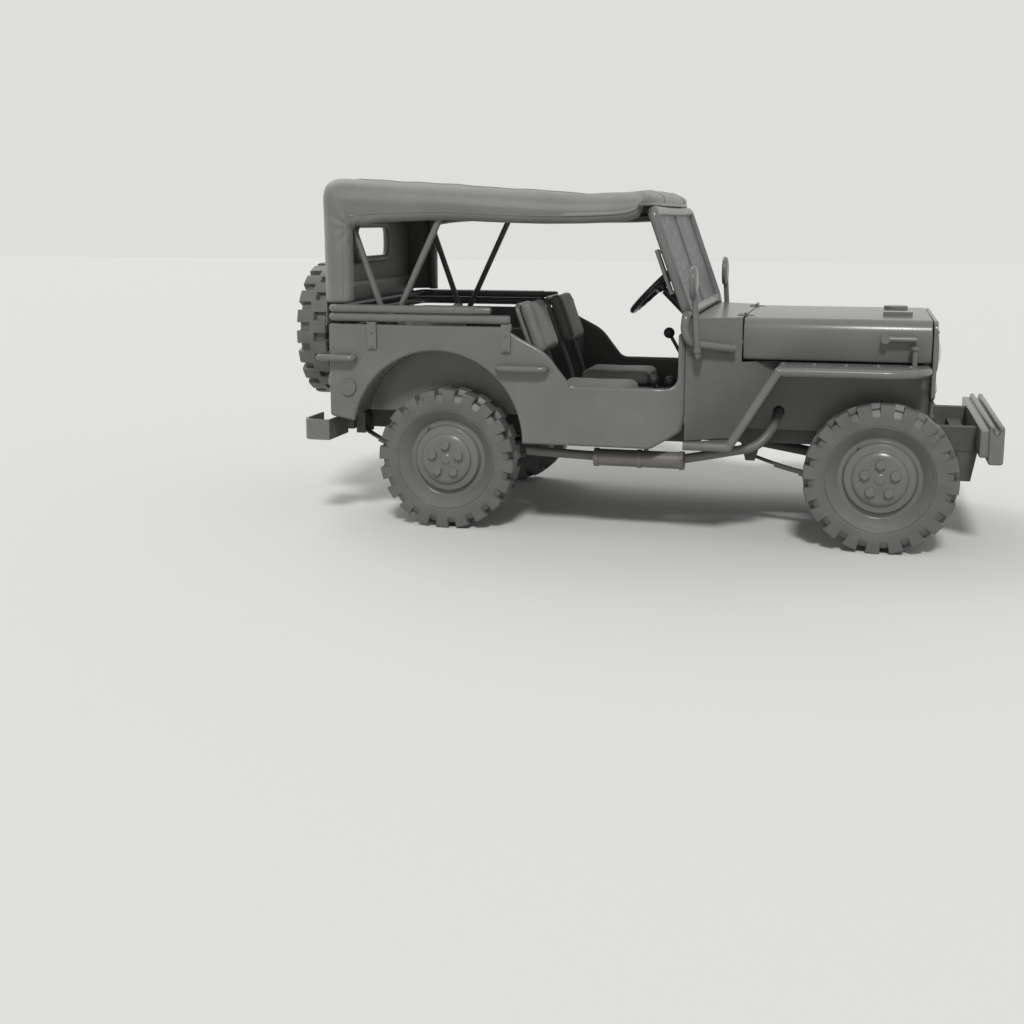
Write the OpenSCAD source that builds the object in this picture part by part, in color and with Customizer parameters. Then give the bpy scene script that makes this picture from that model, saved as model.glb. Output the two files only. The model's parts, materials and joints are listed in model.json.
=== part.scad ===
// Soft-top army 4x4 car with a spare wheel on its rear panel, in millimetres.
// X runs forward, Y to the car's left and Z up; the ground is z = 0.

/* [Wheels and stance] */
// Distance between the front and rear axles
wheelbase = 2032; // [1980:1:2090]
// Distance between the middles of the left and right tyres
track = 1240; // [1220:1:1260]
// Radius over the lugs of a tyre
tyre_r = 340; // [332:1:348]
// Width of a tyre
tyre_w = 165; // [158:1:172]
// Lugs along each shoulder of a tyre
lugs = 20; // [16:1:24]
// Depth of the gaps between lugs at the shoulder
lug_depth = 24; // [14:1:32]
// Radius of the rim barrel under the tyre
rim_r = 216; // [210:1:222]
// Distance from the car's middle to a kingpin
kingpin_y = 520; // [512:1:524]
// Length of a steering arm, forward from its kingpin
steer_arm = 150; // [135:1:160]
// Tilt of the steering wheel from flat
steer_tilt = 45; // [38:1:52]
// Radius of the steering wheel
steer_r = 213; // [190:1:225]

/* [Body tub] */
// Half of the width over the body sides
body_half = 715; // [705:1:725]
// Thickness of the body walls
wall = 28; // [20:1:34]
// Distance of the rear panel's face behind the rear axle
tail = 585; // [570:1:600]
// Height of the sill's lower edge
sill_z = 436; // [425:1:445]
// Height of the door step
door_z = 720; // [690:1:740]
// Height of the body sides
tub_z = 968; // [955:1:975]
// Radius of the rear wheel arch
arch_r = 425; // [415:1:430]
// Height of the rear wheel arch's centre
arch_z = 440; // [432:1:450]

/* [Hood, cowl and fenders] */
// Length of the hood
hood_len = 840; // [820:1:850]
// Half of the width of the hood
hood_half = 505; // [498:1:515]
// Height of the hood's top
hood_z = 1040; // [1030:1:1050]
// Radius of the hood's long edges
hood_edge = 46; // [30:1:55]
// Height of the fenders' flat top
fender_z = 835; // [820:1:836]
// Half of the width to the middle of a fender's rolled edge
fender_half = 735; // [728:1:742]
// Radius of a fender's rolled edge
bead_r = 20; // [15:1:22]
// Number of slots in the grille
slots = 9; // [5:2:11]
// Width of a grille slot
slot_w = 24; // [16:1:28]

/* [Windscreen and top] */
// Lean of the windscreen from upright
screen_lean = 20; // [16:1:23]
// Height of the windscreen between its bars' middles
screen_h = 490; // [480:1:496]
// Half of the width between the windscreen's side tubes
screen_half = 645; // [635:1:650]
// Radius of the windscreen's tubes
screen_tube = 24; // [20:1:26]
// Thickness of the windscreen glass
glass_t = 6; // [5:1:8]
// Half of the width over the canvas top
top_half = 705; // [700:1:715]
// Height of the canvas top at its rear
top_z = 1692; // [1685:1:1710]
// Thickness of the canvas top with its padding
top_t = 24; // [18:1:28]
// Radius of the tubes that carry the canvas
bow_r = 16; // [13:1:18]
// Radius of the hoops stowed along the body sides
hoop_r = 20.4; // [18:0.1:20.4]

/* [Chassis] */
// Distance from the car's middle to the middle of a frame rail
rail_y = 345; // [335:1:350]
// Width of a frame rail
rail_w = 60; // [50:1:62]
// Height of a frame rail's lower face
rail_z0 = 435; // [430:1:440]
// Height of a frame rail's upper face
rail_z1 = 545; // [535:1:550]
// Distance of the bumper's face ahead of the front axle
nose = 525; // [515:1:535]
// Half of the length of the front bumper
bumper_half = 585; // [560:1:610]
// Width of the towing plate's bolt pattern
tow_w = 85.7; // [80:0.1:95]
// Height of the towing plate's bolt pattern
tow_h = 44.5; // [40:0.1:50]
// Diameter of the towing plate's bolt holes
tow_hole = 13.4; // [12.5:0.1:14]

/* [Spare wheel] */
// Gap between the rear panel and the spare tyre
spare_gap = 75; // [70:1:90]
// Distance of the spare wheel to the car's right
spare_y = -220; // [-260:1:0]
// Height of the spare wheel's centre
spare_z = 925; // [915:1:940]

/* [Seats] */
// Width of a front seat
seat_w = 340; // [320:1:345]
// Distance from the car's middle to the middle of a front seat
seat_y = 320; // [312:1:322]
// Height of the front seats' cushions
seat_z = 700; // [690:1:720]

/* [Hidden] */
$fn = 48;
hub_out = tyre_w / 2 + 4.5;
length = nose + wheelbase + tail + spare_gap + tyre_w / 2 + hub_out;
front_x = length / 2;
fx = front_x - nose;
rx = fx - wheelbase;
rear_x = rx - tail;
hub_z = tyre_r;
wheel_y = track / 2;
spare_x = rear_x - spare_gap - tyre_w / 2;
rest = 0.3;
bend = 0.5;
run_fit = 0.06;
swing = 5;
floor_z = rail_z1 + 15;
in_half = body_half - wall;
sheet = 14;
// Cowl and hood stations
cowl_x1 = fx - 642;
cowl_x0 = cowl_x1 - 240;
firewall_x = cowl_x1 - sheet;
hood_x0 = cowl_x1 + swing;
hood_x1 = hood_x0 + hood_len;
grille_x = hood_x1 + swing;
hinge_x = cowl_x1 + swing / 2;
hinge_z = hood_z + 8;
cowl_half = body_half - 55;
// Half width of the cowl at two stations on its way to the hood
cowl_mid = [for (t = [0.31, 0.606]) cowl_half + t * (hood_half - cowl_half)];
// Half widths of the two bows, inside the canvas and the body
bow_y = [for (d = [0, 38]) min(body_half - 65, top_half - 55) - d];
// Half of the rear bench, inside the feet of the bows
bench_half = bow_y[1] - 142;
// Front face of the engine, clear of the radiator
engine_x1 = grille_x - 148;
// Axle and knuckle sizes
axle_r = 36;
pin_r = 14;
yoke_in = 75;
spindle_r = 24;
tie_x = fx + steer_arm;
tie_z = hub_z + 15;
damper_y = 400;
front_leaf_z = 265;
rear_leaf_z = 290;
// Windscreen ends
screen_foot = [cowl_x0, 0, hood_z + screen_tube + bend + rest];
screen_head = screen_foot + screen_h * [-sin(screen_lean), 0, cos(screen_lean)];
// Steering wheel centre and the way its column runs
steer_c = [fx - 1152, 330, 1146];
steer_dir = [sin(steer_tilt), 0, -cos(steer_tilt)];
// Foot and head of a front seat's back tubes, in X and Z
back_foot = [rx + 392, 800];
back_head = [rx + 294, 1070];
back_r = 11;
// Rear arch's centre and the inner edge of the front aprons
arch_x = rx - 40;
apron_y = 385;
// Exhaust pipe, and where it goes through the right apron
pipe_r = 22;
pipe_x = fx - 470;
pipe_z = 590;

// Points along an arc about c
function arc(c, r, a0, a1, n = 6) =
    [for (i = [0:n]) c + r * [cos(a0 + (a1 - a0) * i / n), sin(a0 + (a1 - a0) * i / n)]];

module both() {
    children();
    mirror([0, 1, 0]) children();
}

module on_side(s) {
    if (s > 0) {
        children();
    } else {
        mirror([0, 1, 0]) children();
    }
}

module block(x, y, z) {
    translate([x[0], y[0], z[0]])
        cube([x[1] - x[0], y[1] - y[0], z[1] - z[0]]);
}

// Outline in X and Z, carried along Y
module slab_y(points, y) {
    translate([0, y[1], 0])
        rotate([90, 0, 0])
            linear_extrude(y[1] - y[0])
                polygon(points);
}

// Outline in Y and Z, carried along X
module slab_x(points, x) {
    translate([x[0], 0, 0])
        rotate([90, 0, 90])
            linear_extrude(x[1] - x[0])
                polygon(points);
}

// Outline in X and Y, carried along Z
module slab_z(points, z) {
    translate([0, 0, z[0]])
        linear_extrude(z[1] - z[0])
            polygon(points);
}

module bar(a, b, r) {
    d = b - a;
    translate(a)
        rotate([0, acos(d[2] / norm(d)), atan2(d[1], d[0])])
            cylinder(h = norm(d), r = r);
}

// Round bar through a row of points, with a knuckle at each bend
module run(points, r) {
    for (i = [0:len(points) - 2]) {
        bar(points[i], points[i + 1], r);
    }
    for (i = [1:1:len(points) - 2]) {
        translate(points[i]) sphere(r + bend);
    }
}

// Round bar along a row of points, with a bend of radius turn at each inner point
module bent(points, r, turn) {
    last = len(points) - 1;
    way = [for (i = [0:last - 1]) (points[i + 1] - points[i]) / norm(points[i + 1] - points[i])];
    // Length that each bend takes from the straights beside it
    cut = [for (i = [0:last]) i % last == 0 ? 0 : turn * tan(acos(way[i - 1] * way[i]) / 2)];
    for (i = [0:last - 1]) {
        bar(points[i] + cut[i] * way[i], points[i + 1] - cut[i + 1] * way[i], r);
    }
    for (i = [1:1:last - 1]) {
        a = way[i - 1];
        side = way[i] - (a * way[i]) * a;
        n = side / norm(side);
        w = cross(a, n);
        c = points[i] - cut[i] * a + turn * n;
        multmatrix([
            [-n[0], a[0], w[0], c[0]], [-n[1], a[1], w[1], c[1]], [-n[2], a[2], w[2], c[2]], [0, 0, 0, 1]
        ])
            rotate_extrude(angle = acos(a * way[i]))
                translate([turn, 0])
                    circle(r);
    }
}

// Quarter bend of a round bar in a level plane about c, from angle a on
module elbow(c, turn, a, r) {
    translate(c)
        rotate(a)
            rotate_extrude(angle = 90)
                translate([turn, 0])
                    circle(r);
}

// Cylinder along Y, from y[0] to y[1]
module rod_y(x, z, y, r) {
    translate([x, y[0], z])
        rotate([-90, 0, 0])
            cylinder(h = y[1] - y[0], r = r);
}

// Cylinder along X, from x[0] to x[1]
module rod_x(y, z, x, r) {
    translate([x[0], y, z])
        rotate([0, 90, 0])
            cylinder(h = x[1] - x[0], r = r);
}

// Wheel parts, turned about Z with their outer face up

module rim_shape() {
    lip = tyre_w / 2 - 2.5;
    cap = hub_out;
    rotate_extrude($fn = 96)
        difference() {
            polygon([
                [0, cap], [28, cap], [36, lip - 4], [104, lip - 8], [124, lip - 20],
                [130, lip - 34], [150, lip - 36], [157, lip - 42], [196, lip - 42],
                [rim_r - 8, lip - 6], [rim_r, lip], [rim_r + 24, lip], [rim_r + 24, lip - 5],
                [rim_r, lip - 5], [rim_r, 5 - lip], [rim_r + 24, 5 - lip],
                [rim_r + 24, -lip], [rim_r, -lip], [rim_r - 9, 6 - lip],
                [rim_r - 9, lip - 40], [196, lip - 52], [138, lip - 52], [138, -26],
                [126, -26], [126, lip - 52], [62, lip - 52], [62, -30], [0, -30]
            ]);
            translate([0, -31]) square([spindle_r + 0.3, lip + 6]);
        }
    for (i = [0:4]) {
        rotate(72 * i)
            translate([69.85, 0, lip - 8])
                cylinder(h = 13, r = 19, $fn = 6);
    }
}

// Tyre of alternating shoulder lugs: each station is one section of seven points
module tyre_shape() {
    n = lugs * 4;
    low = tyre_r - lug_depth;
    phase = [0.03, 0.47, 0.53, 0.97];
    half = tyre_w / 2;
    points = [
        for (i = [0:n - 1])
            let (a = 360 / lugs * (floor(i / 4) + phase[i % 4]), left = i % 4 < 2)
                for (p = [
                    [rim_r + 0.8, -half + 11], [tyre_r - 38, -half], [left ? tyre_r : low, -half + 6],
                    [tyre_r - 2, 0],
                    [left ? low : tyre_r, half - 6], [tyre_r - 38, half], [rim_r + 0.8, half - 11]
                ])
                    [p[0] * cos(a), p[0] * sin(a), p[1]]
    ];
    faces = [
        for (i = [0:n - 1], k = [0:6])
            let (j = (i + 1) % n, m = (k + 1) % 7)
                for (f = [[7 * i + k, 7 * j + m, 7 * j + k], [7 * i + k, 7 * i + m, 7 * j + m]])
                    f
    ];
    polyhedron(points, faces);
}

module at_wheel(x, s) {
    translate([x, s * wheel_y, hub_z])
        rotate([-90 * s, 0, 0])
            children();
}

module at_spare() {
    translate([spare_x, spare_y, spare_z])
        rotate([0, -90, 0])
            children();
}

module rim_front_left() color("DimGray") at_wheel(fx, 1) rim_shape();
module rim_front_right() color("DimGray") at_wheel(fx, -1) rim_shape();
module rim_rear_left() color("DimGray") at_wheel(rx, 1) rim_shape();
module rim_rear_right() color("DimGray") at_wheel(rx, -1) rim_shape();
module tyre_front_left() color("#333333") at_wheel(fx, 1) tyre_shape();
module tyre_front_right() color("#333333") at_wheel(fx, -1) tyre_shape();
module tyre_rear_left() color("#333333") at_wheel(rx, 1) tyre_shape();
module tyre_rear_right() color("#333333") at_wheel(rx, -1) tyre_shape();
module spare_rim() color("DimGray") at_spare() rim_shape();
module spare_tyre() color("#333333") at_spare() tyre_shape();

// Stud and flange that hold the spare wheel on the rear panel
module spare_carrier() color("Gray") {
    hub_x = spare_x + 30;
    rod_x(spare_y, spare_z, [spare_x - 24, hub_x + 10], spindle_r);
    rod_x(spare_y, spare_z, [hub_x, rear_x], 58);
    block([rear_x - 12, rear_x], [spare_y - 170, spare_y + 170], [760, tub_z - 8]);
}

// Ladder frame: two rails, crossmembers, body outriggers and spring hangers
module chassis_frame() color("#444444") {
    back = rear_x + 8;
    difference() {
        union() {
            both() block(
                [back, front_x - 104], [rail_y - rail_w / 2, rail_y + rail_w / 2], [rail_z0, rail_z1]
            );
            for (c = [[rx + 420, 70], [fx - 570, 46], [fx + 330, 60]]) {
                block([c[0], c[0] + c[1]], [-rail_y, rail_y], [rail_z0 + 5, rail_z0 + 55]);
            }
            // Seat of the radiator
            block([grille_x - 90, grille_x - 20], [-rail_y, rail_y], [rail_z1 - 45, rail_z1]);
            block([back - 12, back], [-rail_y - rail_w / 2, rail_y + rail_w / 2], [rail_z0, rail_z1]);
            block([back - 1, back + 60], [-rail_y, rail_y], [rail_z0, rail_z0 + 10]);
            block([back - 1, back + 60], [-rail_y, rail_y], [rail_z1 - 10, rail_z1]);
            // Outriggers out to the body sides
            both() for (x = [rx + 480, cowl_x0 - 210]) {
                block([x, x + 50], [rail_y, in_half], [rail_z1 - 60, rail_z1]);
            }
            // Front spring hangers, ahead of and behind the axle
            both() for (h = [[fx - 600, 372], [fx + 385, 320]]) {
                slab_y([
                    [h[0] - 48, rail_z0 + 2], [h[0] - 22, h[1] - 28],
                    [h[0] + 22, h[1] - 28], [h[0] + 48, rail_z0 + 2]
                ], [rail_y - 26, rail_y + 26]);
            }
            // Rear spring hangers on the outside of the rails
            both() for (h = [rx - 520, rx + 520]) {
                block([h - 24, h + 24], [rail_y, 470], [415, 520]);
            }
        }
        // Room for the ends of the springs in their hangers
        both() for (h = [[fx - 600, 372], [fx + 385, 320]]) {
            block([h[0] - 60, h[0] + 60], [rail_y - 23, rail_y + 23], [h[1] - 40, h[1] + 34]);
        }
        both() for (h = [rx - 520, rx + 520]) {
            block([h - 40, h + 40], [417, 463], [400, 500]);
        }
        // Towing plate holes
        for (y = [-1, 1], z = [-1, 1]) {
            rod_x(
                y * tow_w / 2, (rail_z0 + rail_z1) / 2 + z * tow_h / 2,
                [back - 20, back + 20], tow_hole / 2
            );
        }
    }
}

module front_bumper() color("DimGray") {
    x1 = front_x;
    difference() {
        union() {
            block([x1 - 67, x1], [-bumper_half, bumper_half], [409, 585]);
            block([x1 - 104, x1 - 66], [-bumper_half + 12, bumper_half - 12], [439, 567]);
        }
        block([x1 - 50, x1 - 17], [-bumper_half - 1, bumper_half + 1], [567, 590]);
    }
}

// Corner bumpers: channels open at the top, rounded at the outside
module rear_bumperettes() color("DimGray") both() {
    x0 = rear_x - 147;
    difference() {
        union() {
            block([x0 + 60, rear_x - 4], [470, 722], [414, 515]);
            block([x0, x0 + 62], [470, 662], [414, 515]);
            translate([x0 + 60, 662, 414]) cylinder(h = 101, r = 60);
        }
        block([x0 + 60, rear_x - 14], [460, 710], [426, 530]);
        block([x0 + 12, x0 + 62], [460, 662], [426, 530]);
        translate([x0 + 60, 662, 426]) cylinder(h = 101, r = 48);
    }
    block([rear_x - 15, rear_x + 30], [rail_y + rail_w / 2, 480], [rail_z0, 505]);
}

// Axle tube, differential, spring pads and the forked ends that hold the kingpins
module front_axle() color("#4a4a4a") {
    difference() {
        union() {
            rod_y(fx, hub_z, [-460, 460], axle_r);
            translate([fx, -150, hub_z]) sphere(108);
            rod_x(-150, hub_z, [fx - 175, fx - 60], 46);
            both() block([fx - 34, fx + 34], [rail_y - 27, rail_y + 27], [front_leaf_z + 1, hub_z]);
            both() block([fx - 68, fx], [damper_y - 12, damper_y + 12], [hub_z - 10, hub_z + 8]);
            both() block([fx - 46, fx + 46], [452, 472], [hub_z - yoke_in - 20, hub_z + yoke_in + 20]);
            both() for (z = [-yoke_in - 20, yoke_in]) {
                block([fx - 46, fx + 46], [452, kingpin_y], [hub_z + z, hub_z + z + 20]);
                translate([fx, kingpin_y, hub_z + z]) cylinder(h = 20, r = 46);
            }
        }
        both() translate([fx, kingpin_y, hub_z - 150]) cylinder(h = 300, r = pin_r + run_fit);
        both() difference() {
            translate([fx, kingpin_y, hub_z - yoke_in]) cylinder(h = 2 * yoke_in, r = 46);
            block([fx - 60, fx + 60], [400, 472], [hub_z - 100, hub_z + 100]);
        }
    }
}

// Kingpin body with its pins, spindle, brake plate and forward steering arm
module knuckle(s) color("#555555") on_side(s) {
    half = yoke_in - swing;
    difference() {
        union() {
            translate([fx, kingpin_y, hub_z - half]) cylinder(h = 2 * half, r = 34);
            translate([fx, kingpin_y, hub_z - half - 30]) cylinder(h = 2 * half + 60, r = pin_r);
            rod_y(fx, hub_z, [kingpin_y, wheel_y + 48], spindle_r);
            rod_y(fx, hub_z, [kingpin_y + 52, kingpin_y + 62], 112);
            block([fx, tie_x], [kingpin_y - 14, kingpin_y + 13], [tie_z + 18, tie_z + 38]);
            translate([tie_x, kingpin_y, tie_z + 18]) cylinder(h = 20, r = 18);
        }
        translate([tie_x, kingpin_y, tie_z]) cylinder(h = 60, r = 9 + run_fit);
    }
}
module knuckle_left() knuckle(1);
module knuckle_right() knuckle(-1);

// Rod between the steering arms, with an upright pin at each end
module tie_rod() color("#666666") {
    rod_y(tie_x, tie_z, [-kingpin_y, kingpin_y], 12);
    both() translate([tie_x, kingpin_y, tie_z - 12]) cylinder(h = 54, r = 9);
    both() translate([tie_x, kingpin_y, tie_z - 14]) cylinder(h = 27, r = 17);
}

module rear_axle() color("#4a4a4a") {
    rod_y(rx, hub_z, [-wheel_y + 70, wheel_y - 70], axle_r);
    translate([rx, -150, hub_z]) sphere(108);
    rod_x(-150, hub_z, [rx + 60, rx + 175], 46);
    both() rod_y(rx, hub_z, [wheel_y - 72, wheel_y + 48], spindle_r);
    both() rod_y(rx, hub_z, [wheel_y - 76, wheel_y - 66], 112);
    both() block([rx - 34, rx + 34], [413, 467], [rear_leaf_z + 1, hub_z]);
    both() block([rx, rx + 68], [damper_y - 12, damper_y + 12], [hub_z - 10, hub_z + 8]);
}

// One bundle of leaves, curving up to both ends from z at the axle
module leaf_bundle(x, y, z, radius, back, front) {
    for (i = [0:3]) {
        a0 = -90 - asin(back / radius) * (1 - 0.2 * i);
        a1 = -90 + asin(front / radius) * (1 - 0.2 * i);
        translate([x, y + 22.5, z + radius])
            rotate([90, 0, 0])
                rotate([0, 0, a0])
                    rotate_extrude(angle = a1 - a0, $fn = 180)
                        translate([radius + 8 * i, 0]) square([8.5, 45]);
    }
}

module leaf_springs() color("#505050") both() {
    leaf_bundle(fx, rail_y, front_leaf_z, 1700, 600, 385);
    leaf_bundle(rx, 440, rear_leaf_z, 945, 520, 520);
}

// Tube dampers between lugs on the axles and stubs on the frame
module dampers() color("#505050") both() {
    eye_z = hub_z + 8 + 16 + rest;
    for (d = [[fx, -1], [rx, 1]]) {
        foot = [d[0] + 50 * d[1], damper_y, eye_z];
        head = [d[0] + 92 * d[1], damper_y, 482];
        rod_y(foot[0], foot[2], [damper_y - 11, damper_y + 11], 16);
        bar(foot, head, 19);
        rod_y(head[0], head[2] - 10, [rail_y + rail_w / 2, damper_y], 10);
    }
}

module engine() color("#4c4c4c") {
    block([fx - 560, engine_x1], [-170, 190], [rail_z0 + 60, 880]);
    block([fx - 480, engine_x1 - 40], [-120, 130], [rail_z0 + 10, rail_z0 + 61]);
    both() block([fx - 300, fx - 240], [169, rail_y - rail_w / 2], [500, 540]);
}

// Gearbox and the transfer case beside it
module gearbox() color("#484848") {
    block([fx - 900, fx - 560], [-110, 110], [rail_z0 + 60, rail_z1]);
    block([fx - 1150, fx - 860], [-215, 110], [395, rail_z1]);
}

module propeller_shafts() color("#5a5a5a") {
    for (v = [[fx - 175, fx - 860, -1], [rx + 175, fx - 1150, 1]]) {
        near = v[0] + 8 * v[2];
        far = v[1] - 8 * v[2];
        bar([near, -150, hub_z], [far, -150, 450], 25);
        rod_x(-150, hub_z, [min(v[0], v[0] + 16 * v[2]), max(v[0], v[0] + 16 * v[2])], 44);
        rod_x(-150, 450, [min(v[1], v[1] - 16 * v[2]), max(v[1], v[1] - 16 * v[2])], 44);
    }
}

// Muffler under the right sill, its pipes and the straps that hang it
module exhaust() color("#585858") {
    y = -610;
    m0 = rx + 720;
    bar([rx + 386, y, 388], [m0 + 10, y, 376], pipe_r);
    run([
        [m0 + 400, y, 376], [fx - 556, y, 450], [fx - 492, y + 44, 520],
        [pipe_x, -430, pipe_z], [pipe_x, -170, pipe_z]
    ], pipe_r);
    rod_x(y, 372, [m0, m0 + 424], 40);
    for (x = [m0 - 1, m0 + 205, m0 + 404]) {
        rod_x(y, 372, [x, x + 22], 44);
    }
    for (x = [rx + 495, cowl_x0 - 195]) {
        block([x, x + 22], [y - 3, y + 3], [384, rail_z1 - 60]);
    }
}

module radiator() color("#3c3c3c") {
    block([grille_x - 85, grille_x - 25], [-235, 235], [rail_z1, 960]);
}

// Flat pressed grille with slots between two lamp openings
module grille() color("DimGray") difference() {
    slab_x(concat(
        // Lower corners cut back for the steered tyres
        [[-hood_half, 2 * hub_z + 10], [5 - apron_y, 2 * hub_z - 20], [5 - apron_y, rail_z1]],
        [[apron_y - 5, rail_z1], [apron_y - 5, 2 * hub_z - 20], [hood_half, 2 * hub_z + 10]],
        arc([hood_half - hood_edge, hood_z - 4 - hood_edge], hood_edge, 0, 90),
        arc([hood_edge - hood_half, hood_z - 4 - hood_edge], hood_edge, 90, 180)
    ), [grille_x, grille_x + 18]);
    for (i = [0:slots - 1]) {
        y = (i - (slots - 1) / 2) * (slot_w + 20);
        block([grille_x - 1, grille_x + 20], [y - slot_w / 2, y + slot_w / 2], [640, 940]);
    }
    both() rod_x(320, 880, [grille_x - 1, grille_x + 20], 80 + rest);
    both() rod_x(320, 715, [grille_x - 1, grille_x + 20], 32 + rest);
}

// Headlamps with their rims, and a small marker lamp below each
module headlamps() color("#b8b8b8") both() {
    translate([grille_x, 320, 880])
        rotate([0, 90, 0])
            rotate_extrude($fn = 96)
                polygon(concat(
                    [[0, -24], [70, -24], [80, -10], [80, 18], [92, 18], [92, 24], [84, 28]],
                    arc([0, -105], 150, 62, 90, 5)
                ));
    translate([grille_x, 320, 715])
        rotate([0, 90, 0])
            rotate_extrude()
                polygon([[0, -20], [32, -20], [32, 18], [38, 18], [38, 24], [28, 27], [16, 33], [0, 35]]);
}

// Outline of the cowl seen from above, narrowing to the hood
function cowl_plan(d, e) = [
    [cowl_x0, cowl_half - d], [cowl_x0 + 60, cowl_mid[0] - d], [cowl_x0 + 130, cowl_mid[1] - d],
    [cowl_x1 - e, hood_half - d], [cowl_x1 - e, d - hood_half], [cowl_x0 + 130, d - cowl_mid[1]],
    [cowl_x0 + 60, d - cowl_mid[0]], [cowl_x0, d - cowl_half]
];

// Scuttle: tapered sides, top, firewall and instrument panel
module cowl() color("DimGray") {
    difference() {
        slab_z(cowl_plan(0, 0), [476, hood_z]);
        slab_z(cowl_plan(sheet, sheet), [470, hood_z - sheet]);
        translate([-1, 0, 0]) slab_z(cowl_plan(sheet, 200), [470, hood_z - sheet]);
        block([cowl_x0, cowl_x1 + 1], [-rail_y - rail_w, rail_y + rail_w], [470, rail_z1]);
    }
    block([cowl_x0, cowl_x0 + sheet], [sheet - cowl_half + 2, cowl_half - sheet - 2], [922, hood_z - 1]);
    both() for (y = [300, 364]) {
        rod_y(hinge_x, hinge_z, [y, y + 30], 8);
        block([cowl_x1 - 34, hinge_x], [y, y + 30], [hood_z - 1, hood_z + 5]);
    }
    both() rod_y(hinge_x, hinge_z, [300, 394], 4);
}

// Folded hood with hinge barrels along its rear edge
module hood() color("DimGray") {
    difference() {
        slab_x(hood_section(0), [hood_x0, hood_x1]);
        slab_x(hood_section(sheet), [hood_x0 - 1, hood_x1 + 1]);
    }
    both() difference() {
        union() {
            rod_y(hinge_x, hinge_z, [331, 363], 8);
            block([hinge_x, hood_x0 + 34], [331, 363], [hood_z - 1, hood_z + 5]);
        }
        rod_y(hinge_x, hinge_z, [330, 364], 4 + run_fit);
    }
}

// Hood section, set in by d
function hood_section(d) = concat(
    [[d - hood_half, fender_z + 6 - d], [hood_half - d, fender_z + 6 - d]],
    arc([hood_half - hood_edge, hood_z - hood_edge], hood_edge - d, 0, 90),
    arc([hood_edge - hood_half, hood_z - hood_edge], hood_edge - d, 90, 180)
);

// Rest blocks on the hood's top and the catch rods on its sides
module hood_fittings() color("Gray") {
    block([hood_x1 - 215, hood_x1 - 82], [-255, -185], [hood_z, hood_z + 20]);
    translate([hood_x1 - 148, 220, hood_z]) cylinder(h = 20, r = 58);
    both() {
        rod_x(hood_half + 26, 955, [hood_x1 - 215, hood_x1 - 70], 13);
        rod_y(hood_x1 - 205, 955, [hood_half, hood_half + 40], 20);
        rod_y(hood_x1 - 80, 955, [hood_half, hood_half + 26], 12);
    }
}

// Flat-topped front fender with a slanted rear, a foot and a rolled edge
module fender(s) color("DimGray") on_side(s) {
    kink = fx - 459;
    foot = fx - 673;
    heel = cowl_x0 + 4;
    nose_x = grille_x - 2;
    turn = fx - 4;
    curve = nose_x - bead_r - turn;
    edge = fender_half;
    bead_z = fender_z - bead_r + 2;
    difference() {
        union() {
            slab_z(concat(
                [[kink, apron_y], [kink, edge]],
                arc([turn, edge - curve], curve, 90, 0, 8),
                [[turn + curve, apron_y]]
            ), [fender_z - 14, fender_z]);
            slab_y([
                [foot - 6, 462], [foot + 8, 456], [kink + 10, fender_z - 13], [kink + 10, fender_z - 2],
                [kink - 6, fender_z - 2]
            ], [apron_y, edge]);
            block([heel, foot + 4], [apron_y, edge], [455, 469]);
            block([cowl_x1, nose_x], [apron_y, apron_y + 12], [rail_z1 - 40, fender_z - 2]);
            run([
                [heel, edge, 464], [foot, edge, 464], [kink, edge, bead_z], [turn + 1, edge, bead_z]
            ], bead_r);
            translate([turn, edge - curve, bead_z])
                rotate_extrude(angle = 90) translate([curve, 0]) circle(bead_r);
            bar([turn + curve, edge - curve + 1, bead_z], [turn + curve, hood_half, bead_z], bead_r);
        }
        slab_z(cowl_plan(0, 0), [400, 1100]);
        block([cowl_x0 - 50, cowl_x0], [0, cowl_half], [400, 1100]);
        if (s < 0) {
            rod_y(pipe_x, pipe_z, [apron_y - 10, apron_y + 20], pipe_r + swing);
        }
    }
    // Side panel that carries the scuttle's line on to the apron, behind the slanted rear
    intersection() {
        slab_z([
            [cowl_x1 + rest, hood_half - 16], [cowl_x1 + rest, hood_half - 2],
            [kink, apron_y + 24], [kink, apron_y + 12 + rest]
        ], [400, fender_z - 3]);
        slab_y([
            [cowl_x1 - 50, 400], [foot - 7, 462], [kink - 7, fender_z - 2], [cowl_x1 - 50, 900]
        ], [300, 600]);
    }
    // Post that the hood's catch hooks over
    translate([hood_x1 - 74, hood_half + 30, fender_z - 1]) cylinder(h = 86, r = 12);
    translate([hood_x1 - 74, hood_half + 30, fender_z + 76]) cylinder(h = 14, r = 20);
}
module fender_left() fender(1);
module fender_right() fender(-1);

// Floor, with a box over each rear wheel
module tub_floor() color("#5c5c5c") {
    difference() {
        union() {
            slab_z(concat(
                [for (q = side_plan(wall)) [max(q[0], rear_x + wall), q[1]]],
                [for (i = [4:-1:0]) let (q = side_plan(wall)[i]) [max(q[0], rear_x + wall), -q[1]]]
            ), [rail_z1, floor_z]);
            both() block(
                [arch_x - arch_r - sheet, arch_x + arch_r + sheet],
                [500, in_half], [rail_z1, arch_z + arch_r + sheet]
            );
            slab_z(cowl_plan(sheet, sheet), [rail_z1, floor_z]);
        }
        both() rod_y(arch_x, arch_z, [500 + sheet, body_half], arch_r);
    }
}

// Line of a body side seen from above, set in by d
function side_plan(d) = [
    [rear_x, body_half - d], [cowl_x0 - 150, body_half - d], [cowl_x0 - 80 - d / 8, body_half - 12 - d],
    [cowl_x0 - 30 - d / 3, body_half - 34 - d], [cowl_x0, cowl_half - d]
];

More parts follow.
